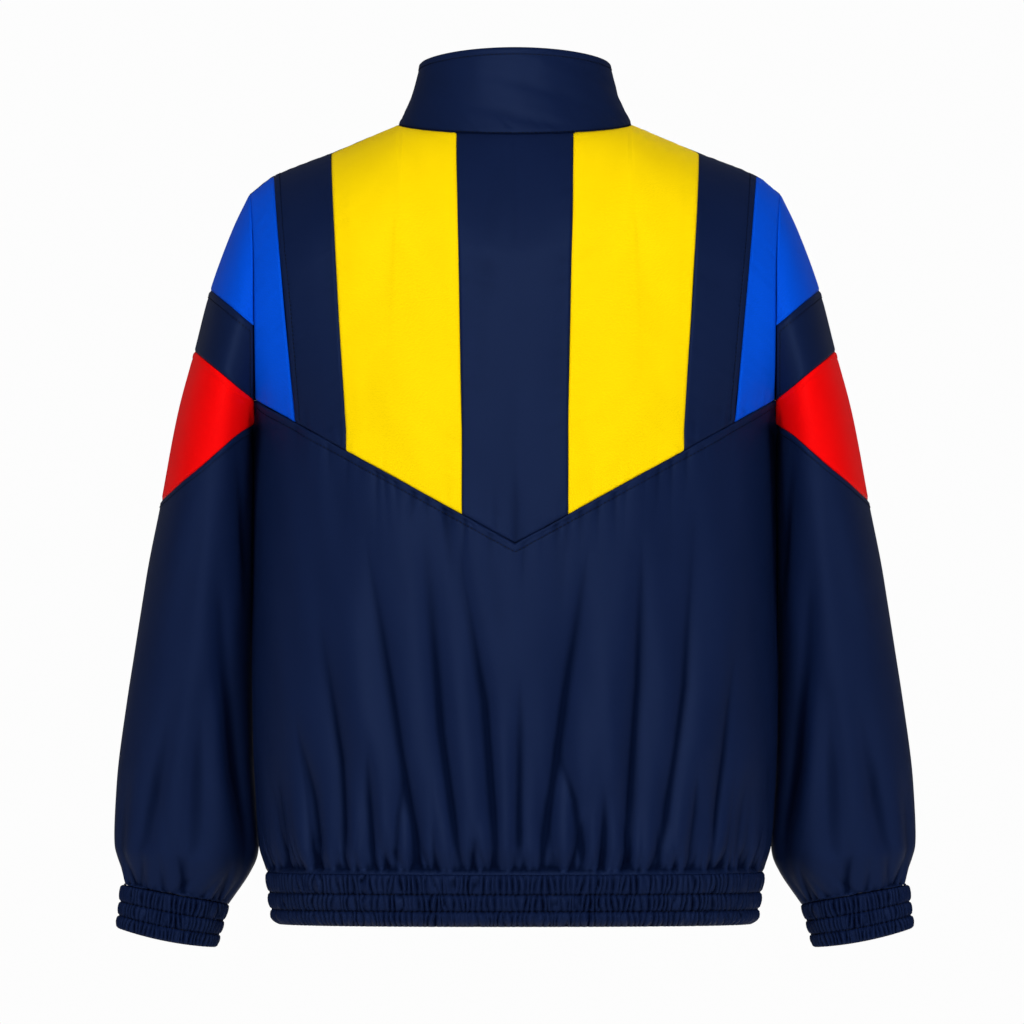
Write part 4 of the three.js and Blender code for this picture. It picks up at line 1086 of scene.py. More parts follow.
def lower_back_grid():
    """The lower back from the slanted seam to the hem band, from side to side."""
    top, low = even_columns(BACK_COLUMNS, 1, 0, BACK_EDGE, LOWER_BACK_MESH["columns"])
    share = spaced(LOWER_BACK_MESH["rows"], 350, 3.2, 0.0)
    share = mix(share, 1 - (1 - share) ** 2.2, 0.35)[:, None]
    _, top_z = top_line(top, 1)
    z = mix(chevron_at(top, low, top_z)[None, :], HEM_SEAM_Z, share)
    x = column_x(top[None, :], low[None, :], z, top_z[None, :])
    z = np.concatenate([z[:, :0:-1], z], 1)
    x = np.concatenate([-x[:, :0:-1], x], 1)
    grid = plain_body(1, x, z)
    outward = facing(normals_of(grid), np.array([0, 1.0, 0]))
    relief = seam_relief(grid, {"top": V_STITCH, "bottom": None})
    across = lengths(grid, 1)
    span = across[:, -1:]
    side = smooth(0, SIDE_FADE, across) * smooth(0, SIDE_FADE, span - across)
    along = (across - span / 2) / span * BACK_GATHER_LENGTH
    half = BACK_GATHER_LENGTH / 2
    height = z - HEM_SEAM_Z
    relief += fold_relief(BACK_FOLDS, x, z) * mix(0.2, 1, side)
    relief += pleat_relief(along, height, half, BACK_GATHER_SPACING, SEEDS["back_gathers"])
    relief += WIDE_GATHER_SHARE * pleat_relief(
        along, height * 0.8, half - 5, WIDE_GATHER_SPACING, SEEDS["back_wide_gathers"], LONG_GATHER)
    relief += chevron_tucks(grid, x)
    relief = np.maximum(relief, -SLACK_AT_SEAM - SLACK_SLOPE * height)
    fade = smooth(0, HEM_FADE, height) * side
    relief += fade * soft_noise(x, z * BODY_STRETCH, SEEDS["back_waves"], BACK_WAVES)
    relief += side_fullness(z, np.minimum(across, span - across))
    return grid + outward * relief[..., None], outward


def chevron_tucks(grid, x):
    """Soft tucks that hang from the slanted seam."""
    chance = np.random.default_rng(SEEDS["tucks"])
    down = lengths(grid, 0)
    relief = np.zeros(x.shape)
    place = -TUCK_REACH_X
    while place < TUCK_REACH_X:
        full = 0.35 + 0.65 * math.exp(-(((abs(place) - TUCK_CENTRE_X) / TUCK_SPREAD) ** 2))
        deep = chance.uniform(1.3, 3.6) * full
        reach = chance.uniform(10, 36)
        wide = chance.uniform(1.6, 3.4)
        slant = chance.normal(0, 0.05)
        shape = trough(x - place - slant * down, wide + 0.09 * down, 0)
        relief -= deep * shape * smooth(0.5, 4, down) * np.exp(-down / reach)
        place += chance.uniform(6, 17)
    return relief


def side_fullness(z, from_side):
    """The body fills out at its sides, most where the sleeve's seams meet under the arm."""
    below_arm = smooth(FULLNESS_LOW_Z, FULLNESS_FULL_Z, z) * (1 - smooth(ARMPIT_Z, ARMPIT_Z + 10, z))
    at_armpit = np.exp(-(((z - ARMPIT_FULLNESS_Z) / ARMPIT_FULLNESS_REACH) ** 2))
    full = SIDE_FULLNESS * below_arm + ARMPIT_FULLNESS * at_armpit
    return full * np.exp(-((from_side / SIDE_REACH) ** 2))


def front_grid(sign):
    """One front from the zip to the side; sign is 1 for the left and -1 for the right."""
    even = even_columns(FRONT_COLUMNS, -1, 0, FRONT_EDGE, FINE_FRONT_COLUMNS)
    place = spaced(FRONT_MESH["columns"], 300, 2.2, 0.6) * (FINE_FRONT_COLUMNS - 1)
    top, low = (np.interp(place, np.arange(FINE_FRONT_COLUMNS), values) for values in even)
    turn = np.linspace(0, math.pi, FRONT_MESH["upper_rows"])
    upper = (1 - np.cos(turn)) / 2
    _, top_z = top_line(top, -1)
    z_upper = mix(top_z[None, :], float(ARMPIT_Z), upper[:, None])
    share = np.linspace(0, 1, FRONT_MESH["lower_rows"])[1:]
    share = 0.62 * share + 0.38 * (1 - (1 - share) ** 2.6)
    z_lower = mix(float(ARMPIT_Z), float(HEM_SEAM_Z), share)[:, None] + np.zeros_like(top)[None, :]
    z = np.concatenate([z_upper, z_lower])
    x = column_x(top[None, :], low[None, :], z, top_z[None, :]) * sign
    grid = relaxed(plain_body(-1, x, z))
    outward = facing(normals_of(grid), np.array([0, -1.0, 0]))
    edges = {"start": TOPSTITCH, "top": None, "bottom": None}
    relief = seam_relief(grid, edges)
    across = lengths(grid, 1)
    span = across[:, -1:]
    side = smooth(4, 30, across) * smooth(0, SIDE_FADE, span - across)
    along = (across - span / 2) / span * FRONT_GATHER_LENGTH
    height = z - HEM_SEAM_Z
    relief += fold_relief(FRONT_FOLDS, x, z) * side
    seed = SEEDS["front_gathers"] + sign
    relief += pleat_relief(along, height, 147, FRONT_GATHER_SPACING, seed) * smooth(0, 6, across)
    seed = SEEDS["front_wide_gathers"] + sign
    wide_gathers = pleat_relief(along, height * 0.8, 140, WIDE_GATHER_SPACING, seed, LONG_GATHER)
    relief += wide_gathers * WIDE_GATHER_SHARE * side
    relief = np.maximum(relief, -SLACK_AT_SEAM - SLACK_SLOPE * height)
    fade = smooth(0, HEM_FADE, height) * side * smooth(0, 30, lengths(grid, 0))
    relief += fade * soft_noise(x, z * BODY_STRETCH, SEEDS["front_waves"] + sign, FRONT_WAVES)
    relief += pucker_relief(grid, edges, SEEDS["front_puckers"] + sign)
    relief += side_fullness(z, span - across)
    return grid + outward * relief[..., None], outward


def oval(row, angle):
    """A point of a sleeve section: 0 is its outer edge and a right angle its back."""
    along = (1 + np.cos(angle)) / 2
    return points(mix(row["in_x"], row["out_x"], along), row["mid_y"] + row["deep"] * np.sin(angle),
                  mix(row["in_z"], row["out_z"], along))


def armhole_point(angle):
    """The point of the armhole seam where a lengthwise line of the sleeve starts."""
    z = (SHOULDER_Z + ARMPIT_Z) / 2 + (SHOULDER_Z - ARMPIT_Z) / 2 * np.cos(angle)
    back = plain_body(1, armhole_x(z), z)
    front = plain_body(-1, armhole_x(z), z)
    return np.where((np.sin(angle) >= 0)[..., None], back, front)


def sleeve_point(t, angle):
    """One point of the sleeve: t runs from armhole to cuff, angle from the outer edge by the back."""
    row = {name: curve(t) for name, curve in SLEEVE_CURVES.items()}
    fade = power(1 - t / SHOULDER_BLEND, 2)[..., None]
    return oval(row, angle) + (armhole_point(angle) - oval(SLEEVE[0], angle)) * fade


def cut_place(cut, angle):
    """Where a sleeve seam crosses each lengthwise line, by halving."""
    def above(t):
        point = sleeve_point(t, angle)
        share = (point[..., 0] - cut["in_x"]) / (cut["out_x"] - cut["in_x"])
        return point[..., 2] > mix(cut["in_z"], cut["out_z"], share)

    low, high = np.zeros_like(angle), np.full_like(angle, 0.7)
    for _ in range(30):
        middle = (low + high) / 2
        up = above(middle)
        low, high = np.where(up, middle, low), np.where(up, high, middle)
    return np.where(above(np.zeros_like(angle)), low, 0.0)


def armhole_angle(z):
    """The lengthwise line of the sleeve that starts at a height of the armhole."""
    return math.acos((z - (SHOULDER_Z + ARMPIT_Z) / 2) / ((SHOULDER_Z - ARMPIT_Z) / 2))


def sleeve_relief(t, angle):
    """Long soft creases of the arm and the gathers above the cuff."""
    relief = np.zeros(t.shape)
    for crease in SLEEVE_CREASES:
        along = (t - crease["t"]) * SLEEVE_LENGTH
        middle = crease["turn"] + crease["drift"] * along / 100
        round_ = (np.mod(angle - middle + math.pi, 2 * math.pi) - math.pi) * SLEEVE_RADIUS
        strength = np.exp(-((along / crease["long"]) ** 2)) * smooth(1.0, 0.94, t)
        relief -= crease["deep"] * strength * np.exp(-((round_ / crease["wide"]) ** 2))
    height = (1 - t) * SLEEVE_LENGTH
    round_all = angle * CUFF_RADIUS
    girth = 2 * math.pi * CUFF_RADIUS
    for shift in (-girth, 0, girth):
        relief += pleat_relief(
            round_all + shift, height, 145, CUFF_GATHER_SPACING, SEEDS["sleeve_gathers"], 1.7)
    between = smooth(1.0, 0.9, t) * smooth(0, 0.15, t)
    waves = soft_noise(round_all, t * SLEEVE_WAVE_LENGTH, SEEDS["sleeve_waves"], SLEEVE_WAVES)
    relief += waves * between
    return np.maximum(relief, -SLEEVE_SLACK_AT_SEAM - SLEEVE_SLACK_SLOPE * height)


def sleeve_grid(piece):
    """A sleeve piece between two slanted seams; the lowest one runs on to the cuff."""
    cut_above, cut_below = piece["above"], piece["below"]
    if cut_below is None:
        angle = np.linspace(-math.pi, math.pi, piece["columns"] + 1)[:-1]
    else:
        reach = armhole_angle(piece["end_z"]) - 0.004
        angle = np.linspace(-reach, reach, piece["columns"])
    start = cut_place(SLEEVE_CUTS[cut_above], angle) if cut_above else np.zeros_like(angle)
    end = cut_place(SLEEVE_CUTS[cut_below], angle) if cut_below else np.ones_like(angle)
    share = spaced(piece["rows"], 380 if cut_below is None else 90, 2.5 if cut_above else 0.8, 0.8)
    if cut_below is None:
        share = mix(share, 1 - (1 - share) ** 2.2, 0.4)
    t = mix(start[None, :], end[None, :], share[:, None])
    turn = np.broadcast_to(angle[None, :], t.shape)
    grid = sleeve_point(t, turn)
    centre_x = mix(SLEEVE_CURVES["in_x"](t), SLEEVE_CURVES["out_x"](t), 0.5)
    centre_z = mix(SLEEVE_CURVES["in_z"](t), SLEEVE_CURVES["out_z"](t), 0.5)
    centre = points(centre_x, SLEEVE_CURVES["mid_y"](t), centre_z)
    step = 0.004
    after, before = np.minimum(t + step, 1.0), np.maximum(t - step, 0.0)
    down = sleeve_point(after, turn) - sleeve_point(before, turn)
    round_ = sleeve_point(t, turn + 0.02) - sleeve_point(t, turn - 0.02)
    outward = away_from(centre, grid, unit(np.cross(round_, down)))
    relief = sleeve_relief(t, turn)
    edges = {"top": TOPSTITCH if cut_above else None, "bottom": None}
    relief += seam_relief(grid, edges) * smooth(0, 4, lengths(grid, 0)[-1:])
    relief *= 1 - smooth(2.5, 3.0, np.abs(turn))
    return grid + outward * relief[..., None], outward


def collar_grid(columns, rows):
    """The stand collar from zip to zip; the first row is its top edge."""
    angle = np.linspace(-1, 1, columns) * math.pi
    zip_angle = math.asin(ZIP_HALF / NECK_HALF)
    angle = angle * (1 - zip_angle / math.pi)
    x = NECK_HALF * np.sin(angle)
    back = np.cos(angle) >= 0
    share = 1 - spaced(rows, 75, 2.5, 1.5)[:, None]
    round_ = np.abs(np.cos(angle))
    across = np.abs(x)
    base_y = np.where(back, top_line(across, 1)[0], top_line(across, -1)[0])
    base_z = np.where(back, top_line(across, 1)[1], top_line(across, -1)[1])
    inset = np.where(back, 0.0, ZIP_HALF)
    top_x = inset + (COLLAR_TOP_HALF - inset) * (across - inset) / (NECK_HALF - inset)
    top_y = np.where(back, COLLAR_TOP_BACK, COLLAR_TOP_FRONT) * round_
    rise = np.where(back, COLLAR_BACK_RISE * power(round_, 1.3), -COLLAR_FRONT_DROP * power(round_, 1.5))
    top_z = COLLAR_SIDE_Z + rise
    hollow = COLLAR_HOLLOW * 4 * share * (1 - share)
    y = mix(base_y, top_y, share) - hollow * round_
    wide = mix(across, top_x, share) - hollow * (across - inset) / NECK_HALF
    grid = points(np.sign(x) * wide, np.where(back, 1, -1) * y, mix(base_z, top_z, share))
    rounded = grid.copy()
    for _ in range(COLLAR_ROUNDS):
        rounded[:, 1:-1] = (rounded[:, :-2] + 2 * rounded[:, 1:-1] + rounded[:, 2:]) / 4
    grid = mix(grid, rounded, smooth(0.3, 0.9, share)[..., None])
    outward = facing(normals_of(grid), points(x, y * np.where(back, 1, -1), 0 * y))
    relief = seam_relief(grid, {"top": TOPSTITCH, "bottom": None, "start": TOPSTITCH, "end": TOPSTITCH})
    down = lengths(grid, 0)
    along = lengths(grid, 1)
    middle = smooth(0, 14, down) * smooth(0, 10, down[-1:] - down)
    relief += middle * soft_noise(along, down * COLLAR_STRETCH, SEEDS["collar_waves"], COLLAR_WAVES)
    relief += pucker_relief(grid, {"bottom": None}, SEEDS["collar_puckers"])
    relief -= TURNED_EDGE * (1 - smooth(0, 1.1, down))
    grid = grid + outward * relief[..., None]
    grid[-1, :, 2] -= NECK_SEAM_LAP
    return grid, outward


def shirred_relief(along, share, ribs, total, seed, bulge, rib):
    """An elastic band sewn in rows: each row swells, its ribs are uneven, each line pinches it."""
    chance = np.random.default_rng(seed)
    relief = np.zeros(np.broadcast(along, share).shape)
    place = along / total * ribs
    marks = np.arange(ribs + 1)

    def wander(size):
        values = chance.normal(0, size, ribs + 1)
        values[-1] = values[0]
        return np.interp(place, marks, values)

    for low, high in zip(BAND_LINES[:-1], BAND_LINES[1:]):
        inside = np.clip((share - low) / (high - low), 0, 1)
        here = (share >= low) & (share <= high)
        swell = np.sin(inside * math.pi)
        phase = wander(0.20) + wander(0.42) * (inside - 0.5) + wander(0.25) * swell
        tall = np.clip(1 + wander(0.30), 0.45, 1.5)
        ridge = np.abs(np.cos(math.pi * (place + phase)))
        puff = bulge * swell ** 0.6 * (1.15 - 0.3 * inside)
        relief += here * (puff + rib * tall * (ridge - 0.75) * mix(0.45, 1, swell))
    for line in BAND_LINES:
        relief -= PINCH_DEPTH * np.exp(-(((share - line) / PINCH_WIDTH) ** 2))
    return relief


def band_rows():
    """Rows of an elastic band, closest at its stitched lines."""
    steps = np.array(BAND_STEPS)
    rows = [low + (high - low) * steps for low, high in zip(BAND_LINES[:-1], BAND_LINES[1:])]
    return np.concatenate([*rows, [1.0]])[:, None]


def hem_grid(columns):
    """The hem band from zip to zip, round by the back."""
    zip_angle = ((ZIP_HALF + 0.15) / TORSO_HALF(float(HEM_SEAM_Z))) ** (SECTION_POWER / 2)
    fine = np.linspace(-math.pi + zip_angle, math.pi - zip_angle, 4000)

    def at(angle, z):
        half = TORSO_HALF(z)
        depth = np.where(np.cos(angle) > 0, BACK_DEPTH(z), FRONT_DEPTH(z))
        bend = 2 / SECTION_POWER
        return points(half * np.sign(np.sin(angle)) * np.abs(np.sin(angle)) ** bend,
                      depth * np.sign(np.cos(angle)) * np.abs(np.cos(angle)) ** bend, z)

    rim = at(fine, np.full_like(fine, HEM_SEAM_Z))
    along = run_of(rim)
    wanted = np.linspace(0, along[-1], columns)
    angle = np.interp(wanted, along, fine)[None, :]
    share = band_rows()
    z = mix(HEM_SEAM_Z, HEM_BOTTOM_Z, share) + np.zeros_like(angle)
    grid = at(np.broadcast_to(angle, z.shape), z)
    outward = facing(normals_of(grid), grid * [1, 1, 0])
    ribs = bpy.context.scene.jacket_sizes.hem_ribs
    shares = share + np.zeros_like(angle)
    relief = shirred_relief(wanted[None, :], shares, ribs, along[-1], SEEDS["hem_ribs"], **HEM_PUFF)
    edge = smooth(0, 3, wanted) * smooth(0, 3, along[-1] - wanted)
    relief = relief * mix(0.3, 1, edge)[None, :] - HEM_CORNER_TURN * smooth(0.8, 1.0, share) ** 2
    return grid + outward * (relief[..., None] - BAND_INSET), outward


def cuff_grid(columns):
    """The left cuff, round from its outer edge by the back."""
    end = SLEEVE[-1]
    fine = np.linspace(0, 2 * math.pi, 2001)
    rim = oval(end, fine)
    along = run_of(rim)
    wanted = np.linspace(0, along[-1], columns + 1)[:-1]
    angle = np.interp(wanted, along, fine)[None, :]
    share = band_rows()
    row = {name: mix(end[name], CUFF_BOTTOM[name], share) for name in end}
    grid = oval(row, np.broadcast_to(angle, (len(share), columns)))
    grid[..., 2] -= CUFF_SAG * share * np.sin(angle) ** 2
    middle = grid.mean(axis=1, keepdims=True)
    wide = unit(np.array([end["out_x"] - end["in_x"], 0, end["out_z"] - end["in_z"]], float))
    across = wide * (np.cos(angle) / CUFF_RADIUS)[..., None]
    deep = np.array([0, 1.0, 0]) * (np.sin(angle) / CUFF_DEPTH_RADIUS)[..., None]
    outward = away_from(middle, grid, np.broadcast_to(unit(across + deep), grid.shape))
    ribs = bpy.context.scene.jacket_sizes.cuff_ribs
    shares = share + np.zeros_like(angle)
    relief = shirred_relief(wanted[None, :], shares, ribs, along[-1], SEEDS["cuff_ribs"], **CUFF_PUFF)
    return grid + outward * (relief[..., None] - BAND_INSET), outward


def zip_line():
    """The middle of the front from the collar's top to the hem's bottom."""
    line = []
    collar, _ = collar_grid(COLLAR_MESH["columns"], ZIP_STEPS["collar"])
    for row in collar[:, 0]:
        line.append([0, row[1], row[2]])
    _, neck_z = top_line(np.array(ZIP_HALF), -1)
    for z in np.linspace(float(neck_z) - 4, HEM_SEAM_Z, ZIP_STEPS["front"]):
        line.append([0, float(plain_body(-1, np.array(ZIP_HALF), np.array(z))[1]), z])
    for z in np.linspace(HEM_SEAM_Z - 4, HEM_BOTTOM_Z, ZIP_STEPS["hem"]):
        line.append([0, -float(FRONT_DEPTH(z)), z])
    return np.array(line)


# Settings shown in the sidebar

class JacketSizes(bpy.types.PropertyGroup):
    """Sizes that a maker would change."""
    cloth_wall: bpy.props.FloatProperty(
        name="Cloth wall", description="Thickness of one layer with its turned edges", default=0.0009,
        min=0.0002, unit="LENGTH")
    stitch_pitch: bpy.props.FloatProperty(
        name="Stitch pitch", description="Distance from one stitch to the next", default=0.0037,
        unit="LENGTH")
    stitch_length: bpy.props.FloatProperty(
        name="Stitch length", description="Length of thread that shows in each stitch", default=0.0020,
        unit="LENGTH")
    hem_ribs: bpy.props.IntProperty(
        name="Hem ribs", description="Gathers round the hem band", default=210, min=20)
    cuff_ribs: bpy.props.IntProperty(
        name="Cuff ribs", description="Gathers round each cuff", default=58, min=10)


class JacketColours(bpy.types.PropertyGroup):
    """Colours of the cloth, as linear red, green and blue."""
    navy: bpy.props.FloatVectorProperty(
        name="Navy", description="Main cloth", subtype="COLOR", size=3, default=(0.0030, 0.0085, 0.0385))
    yellow: bpy.props.FloatVectorProperty(
        name="Yellow", description="Back panels", subtype="COLOR", size=3, default=(0.92, 0.625, 0.0005))
    blue: bpy.props.FloatVectorProperty(
        name="Blue", description="Side panels and sleeve caps", subtype="COLOR", size=3,
        default=(0.0002, 0.068, 0.600))
    red: bpy.props.FloatVectorProperty(
        name="Red", description="Sleeve wedges", subtype="COLOR", size=3, default=(0.86, 0.0010, 0.0015))
    elastic: bpy.props.FloatVectorProperty(
        name="Elastic bands", description="Hem and cuffs", subtype="COLOR", size=3,
        default=(0.0025, 0.0072, 0.0340))
    tape: bpy.props.FloatVectorProperty(
        name="Zip tape", description="Woven tape", subtype="COLOR", size=3, default=(0.008, 0.013, 0.036))
    thread: bpy.props.FloatVectorProperty(
        name="Thread", description="Sewing thread", subtype="COLOR", size=3,
        default=(0.0013, 0.0026, 0.0090))


# Operators, one for each group of pieces

class JACKET_OT_upper_back(bpy.types.Operator):
    """Sews the upper back: the centre strip and the yellow, navy and blue panels"""
    bl_idname = "jacket.upper_back"
    bl_label = "Upper back"

    def execute(self, context):
        edges = {"top": None, "bottom": None, "start": None, "end": None}
        mesh = CENTRE_MESH
        centre, away = upper_back_grid(
            0, CENTRE_EDGE, mesh["columns"], mesh["rows"], edges, SEEDS["centre"], both=True)
        sew("back_centre", centre, away, finish_of("navy"), "back_centre", "stretched")
        for number, panel in enumerate(BACK_PANELS):
            for sign, hand in ((1, "l"), (-1, "r")):
                self.side_panel(panel, sign, hand, edges, SEEDS["panels"] + 10 * number + sign)
        return {"FINISHED"}

    def side_panel(self, panel, sign, hand, edges, seed):
        """One panel beside the centre strip; each hand has its own unevenness"""
        line = TOPSTITCH if panel["stitched"] else None
        edges = {**edges, "end": line}
        grid, away = upper_back_grid(
            panel["first"], panel["last"], panel["columns"], PANEL_ROWS, edges, seed)
        if sign < 0:
            grid, away = mirror_grid(grid), mirror_grid(away)
        name = panel["name"]
        sew(f"{name}_{hand}", grid, away, finish_of(panel["finish"]), name, "stretched")
        if line:
            note_line("navy", grid, away, "end", line)


class JACKET_OT_lower_back(bpy.types.Operator):
    """Sews the lower back below the slanted seam, with its folds and hem gathers"""
    bl_idname = "jacket.lower_back"
    bl_label = "Lower back"

    def execute(self, context):
        grid, away = lower_back_grid()
        sew("back_lower", grid, away, finish_of("navy"), "back_lower", "gathered")
        note_line("navy", grid, away, "top", V_STITCH)
        return {"FINISHED"}


class JACKET_OT_fronts(bpy.types.Operator):
    """Sews the two plain fronts"""
    bl_idname = "jacket.fronts"
    bl_label = "Fronts"

    def execute(self, context):
        for sign, hand in ((1, "l"), (-1, "r")):
            grid, away = front_grid(sign)
            sew(f"front_{hand}", grid, away, finish_of("navy"), "front", "gathered")
            note_line("navy", grid, away, "start", TOPSTITCH)
        return {"FINISHED"}


class JACKET_OT_sleeves(bpy.types.Operator):
    """Sews both sleeves: cap, band, wedge and lower sleeve"""
    bl_idname = "jacket.sleeves"
    bl_label = "Sleeves"

    def execute(self, context):
        for piece in SLEEVE_PIECES:
            name, finish = piece["name"], piece["finish"]
            sleeve, outward = sleeve_grid(piece)
            for hand, grid, away in both_hands(sleeve, outward):
                ring = piece["below"] is None
                sew(f"{name}_{hand}", grid, away, finish_of(finish), name, piece["held"], ring=ring)
                if piece["above"] and finish == "navy":
                    note_line("navy", grid, away, "top", TOPSTITCH)
        return {"FINISHED"}


class JACKET_OT_collar(bpy.types.Operator):
    """Sews the stand collar with its stitched top edge"""
    bl_idname = "jacket.collar"
    bl_label = "Collar"

    def execute(self, context):
        grid, away = collar_grid(COLLAR_MESH["columns"], COLLAR_MESH["rows"])
        sew("collar", grid, away, finish_of("navy"), "collar", "stretched", wall=COLLAR_WALL)
        for edge in ("top", "start", "end"):
            note_line("navy", grid, away, edge, TOPSTITCH)
        note_line("navy", grid, away, "bottom", NECK_STITCH)
        return {"FINISHED"}


class JACKET_OT_bands(bpy.types.Operator):
    """Shirrs the elastic hem band and both cuffs"""
    bl_idname = "jacket.bands"
    bl_label = "Hem band and cuffs"

    def execute(self, context):
        grid, away = hem_grid(HEM_COLUMNS)
        sew("hem_band", grid, away, finish_of("elastic"), "hem_band", "gathered")
        note_shirring(grid, away)
        cuff, outward = cuff_grid(CUFF_COLUMNS)
        for hand, grid, away in both_hands(cuff, outward):
            sew(f"cuff_{hand}", grid, away, finish_of("elastic"), "cuff", "gathered", ring=True)
            note_shirring(grid, away)
        return {"FINISHED"}


class JACKET_OT_zip(bpy.types.Operator):
    """Fits the zip: two tapes, its teeth, and finishes for the slider and pull tab"""
    bl_idname = "jacket.zip"
    bl_label = "Zip"

    def execute(self, context):
        line = zip_line()
        for sign, hand in ((1, "l"), (-1, "r")):
            x = np.linspace(0, ZIP_HALF, 9)[None, :] * sign
            grid = points(x, line[:, 1:2] + TAPE_SUNK, line[:, 2:3])
            sew(f"zip_tape_{hand}", grid, points(0, -1, 0), finish_of("tape"), "zip_tape", "stretched")
        self.teeth(line)
        for name in ("zip_slider", "zip_pull"):
            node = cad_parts[name]
            node.data.materials.clear()
            node.data.materials.append(finish_of("metal"))
        return {"FINISHED"}

    def teeth(self, line):
        """One moulded tooth, copied down both tapes"""
        deselect_all()
        bpy.ops.mesh.primitive_cube_add(size=1, location=(0, 0, 0))
        tooth = bpy.context.object
        tooth.scale = [TOOTH[side] * MM for side in ("wide", "deep", "tall")]
        bpy.ops.object.transform_apply(location=False, rotation=False, scale=True)
        bevel = tooth.modifiers.new("Round", "BEVEL")
        bevel.width = TOOTH["round"] * MM
        bevel.segments = 1
        bpy.ops.object.modifier_apply(modifier=bevel.name)
        shape = np.array([v.co for v in tooth.data.vertices]) / MM
        faces = [list(p.vertices) for p in tooth.data.polygons]
        bpy.data.objects.remove(tooth)
        along = run_of(line)
        stop = along[-1] - TOOTH_PITCH
        verts, quads = [], []
        for number, place in enumerate(np.arange(FIRST_TOOTH, stop, TOOTH_PITCH / 2)):
            sign = 1 if number % 2 else -1
            centre = np.array([np.interp(place, along, line[:, k]) for k in range(3)])
            quads.extend([[len(verts) * len(shape) + k for k in face] for face in faces])
            verts.append(shape + centre + [sign * TOOTH_OFFSET, -TOOTH_PROUD, 0])
        mesh = bpy.data.meshes.new("zip_teeth")
        mesh.from_pydata((np.concatenate(verts) * MM).tolist(), [], quads)
        mesh.materials.append(finish_of("tape"))
        teeth = new_object("zip_teeth", mesh)
        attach(teeth, BODY)


class JACKET_OT_stitching(bpy.types.Operator):
    """Lays every sewn line as single stitches"""
    bl_idname = "jacket.stitching"
    bl_label = "Stitching"

    def execute(self, context):
        sizes = context.scene.jacket_sizes
        for group in ("navy", "shirring"):
            lines = [(line, away) for kind, line, away in SEWN_LINES if kind == group]
            name = f"stitching_{group}"
            mesh = thread_mesh(name, lines, sizes.stitch_pitch / MM, sizes.stitch_length / MM)
            mesh.materials.append(finish_of("thread"))
            piece = new_object(name, mesh)
            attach(piece, BODY)
        return {"FINISHED"}


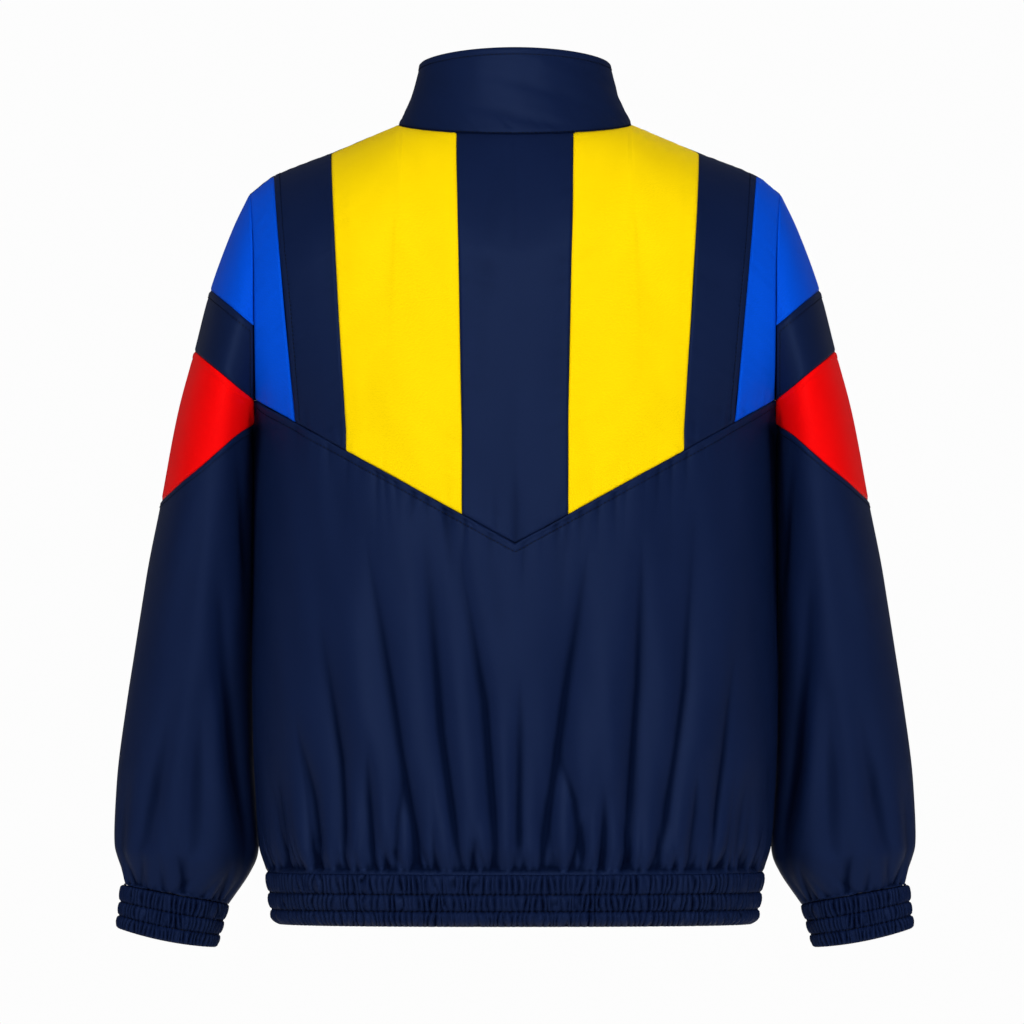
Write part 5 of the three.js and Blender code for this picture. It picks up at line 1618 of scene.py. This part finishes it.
class JACKET_OT_studio(bpy.types.Operator):
    """Sets the pale floor, the soft lights and the camera"""
    bl_idname = "jacket.studio"
    bl_label = "Studio"

    def execute(self, context):
        scene = context.scene
        scene.view_settings.view_transform = "Standard"
        self.floor()
        self.world(scene)
        for row in LIGHTS:
            self.light(**row)
        self.camera(scene)
        return {"FINISHED"}

    def camera(self, scene):
        """Looks level at the back; its shift from the neck base comes from the photograph's frame"""
        camera = bpy.data.cameras.new("Camera")
        camera.sensor_width = SENSOR
        camera.lens = SENSOR * (CAMERA_DISTANCE - BACK_PLANE) / (FRAME_PIXELS * PIXEL * MM)
        camera.clip_end = 100
        holder = bpy.data.objects.new("Camera", camera)
        scene.collection.objects.link(holder)
        middle = FRAME_PIXELS / 2
        x = (MIDDLE_PIXEL_X - middle) * PIXEL * MM
        z = (NECK_PIXEL_Y - middle) * PIXEL * MM
        holder.location = (x, CAMERA_DISTANCE, z)
        holder.rotation_euler = (math.pi / 2, 0, math.pi)
        scene.camera = holder

    def floor(self):
        deselect_all()
        bpy.ops.mesh.primitive_circle_add(
            vertices=96, radius=FLOOR_RADIUS, fill_type="NGON", location=(0, 0, FLOOR_Z))
        floor = bpy.context.object
        floor.name = "Floor"
        material, nodes, links, shader = shade_tree("Pale floor")
        place = nodes.new("ShaderNodeTexCoord")
        grain = noise_node(nodes, links, place.outputs["Object"], FLOOR_GRAIN_SCALE)
        gloss = math_node(nodes, links, "MULTIPLY_ADD", grain, 0.1, 0.6)
        links.new(gloss, shader.inputs["Roughness"])
        shader.inputs["Base Color"].default_value = (*FLOOR_COLOUR, 1)
        floor.data.materials.append(material)

    def world(self, scene):
        world = bpy.data.worlds.new("Studio")
        scene.world = world
        world.use_nodes = True
        nodes, links = world.node_tree.nodes, world.node_tree.links
        nodes.clear()
        out = nodes.new("ShaderNodeOutputWorld")
        seen = nodes.new("ShaderNodeBackground")
        seen.inputs["Color"].default_value = (*SEEN_WORLD, 1)
        soft = nodes.new("ShaderNodeBackground")
        soft.inputs["Color"].default_value = (1, 1, 1, 1)
        soft.inputs["Strength"].default_value = WORLD_STRENGTH
        path = nodes.new("ShaderNodeLightPath")
        choose = nodes.new("ShaderNodeMixShader")
        links.new(path.outputs["Is Camera Ray"], choose.inputs["Fac"])
        links.new(soft.outputs[0], choose.inputs[1])
        links.new(seen.outputs[0], choose.inputs[2])
        links.new(choose.outputs[0], out.inputs["Surface"])

    def light(self, name, place, size, watts, shines=True, lights=True):
        light = bpy.data.lights.new(name, "AREA")
        light.shape = "DISK"
        light.size = size
        light.energy = watts
        holder = bpy.data.objects.new(name, light)
        bpy.context.scene.collection.objects.link(holder)
        holder.location = place
        holder.visible_glossy = shines
        holder.visible_diffuse = lights
        aim = np.array([0, 0, AIM_Z]) - np.array(place)
        length = np.linalg.norm(aim)
        holder.rotation_euler = (math.acos(-aim[2] / length), 0, math.atan2(aim[1], aim[0]) - math.pi / 2)


class JACKET_PT_panel(bpy.types.Panel):
    """Sizes, colours and pieces of the jacket"""
    bl_label = "Jacket"
    bl_space_type = "VIEW_3D"
    bl_region_type = "UI"
    bl_category = "Jacket"

    def draw(self, context):
        for settings in (context.scene.jacket_sizes, context.scene.jacket_colours):
            for name in settings.__annotations__:
                self.layout.prop(settings, name)
        for operator in OPERATORS:
            self.layout.operator(operator.bl_idname)


OPERATORS = (
    JACKET_OT_upper_back,
    JACKET_OT_lower_back,
    JACKET_OT_fronts,
    JACKET_OT_sleeves,
    JACKET_OT_collar,
    JACKET_OT_bands,
    JACKET_OT_zip,
    JACKET_OT_stitching,
    JACKET_OT_studio,
)
CLASSES = (JacketSizes, JacketColours, *OPERATORS, JACKET_PT_panel)


def register():
    for item in CLASSES:
        bpy.utils.register_class(item)
    bpy.types.Scene.jacket_sizes = bpy.props.PointerProperty(type=JacketSizes)
    bpy.types.Scene.jacket_colours = bpy.props.PointerProperty(type=JacketColours)


def unregister():
    del bpy.types.Scene.jacket_colours
    del bpy.types.Scene.jacket_sizes
    for item in reversed(CLASSES):
        bpy.utils.unregister_class(item)


def main():
    register()
    bpy.ops.jacket.upper_back()
    bpy.ops.jacket.lower_back()
    bpy.ops.jacket.fronts()
    bpy.ops.jacket.sleeves()
    bpy.ops.jacket.collar()
    bpy.ops.jacket.bands()
    bpy.ops.jacket.zip()
    bpy.ops.jacket.stitching()
    bpy.ops.jacket.studio()


if __name__ == "__main__":
    main()
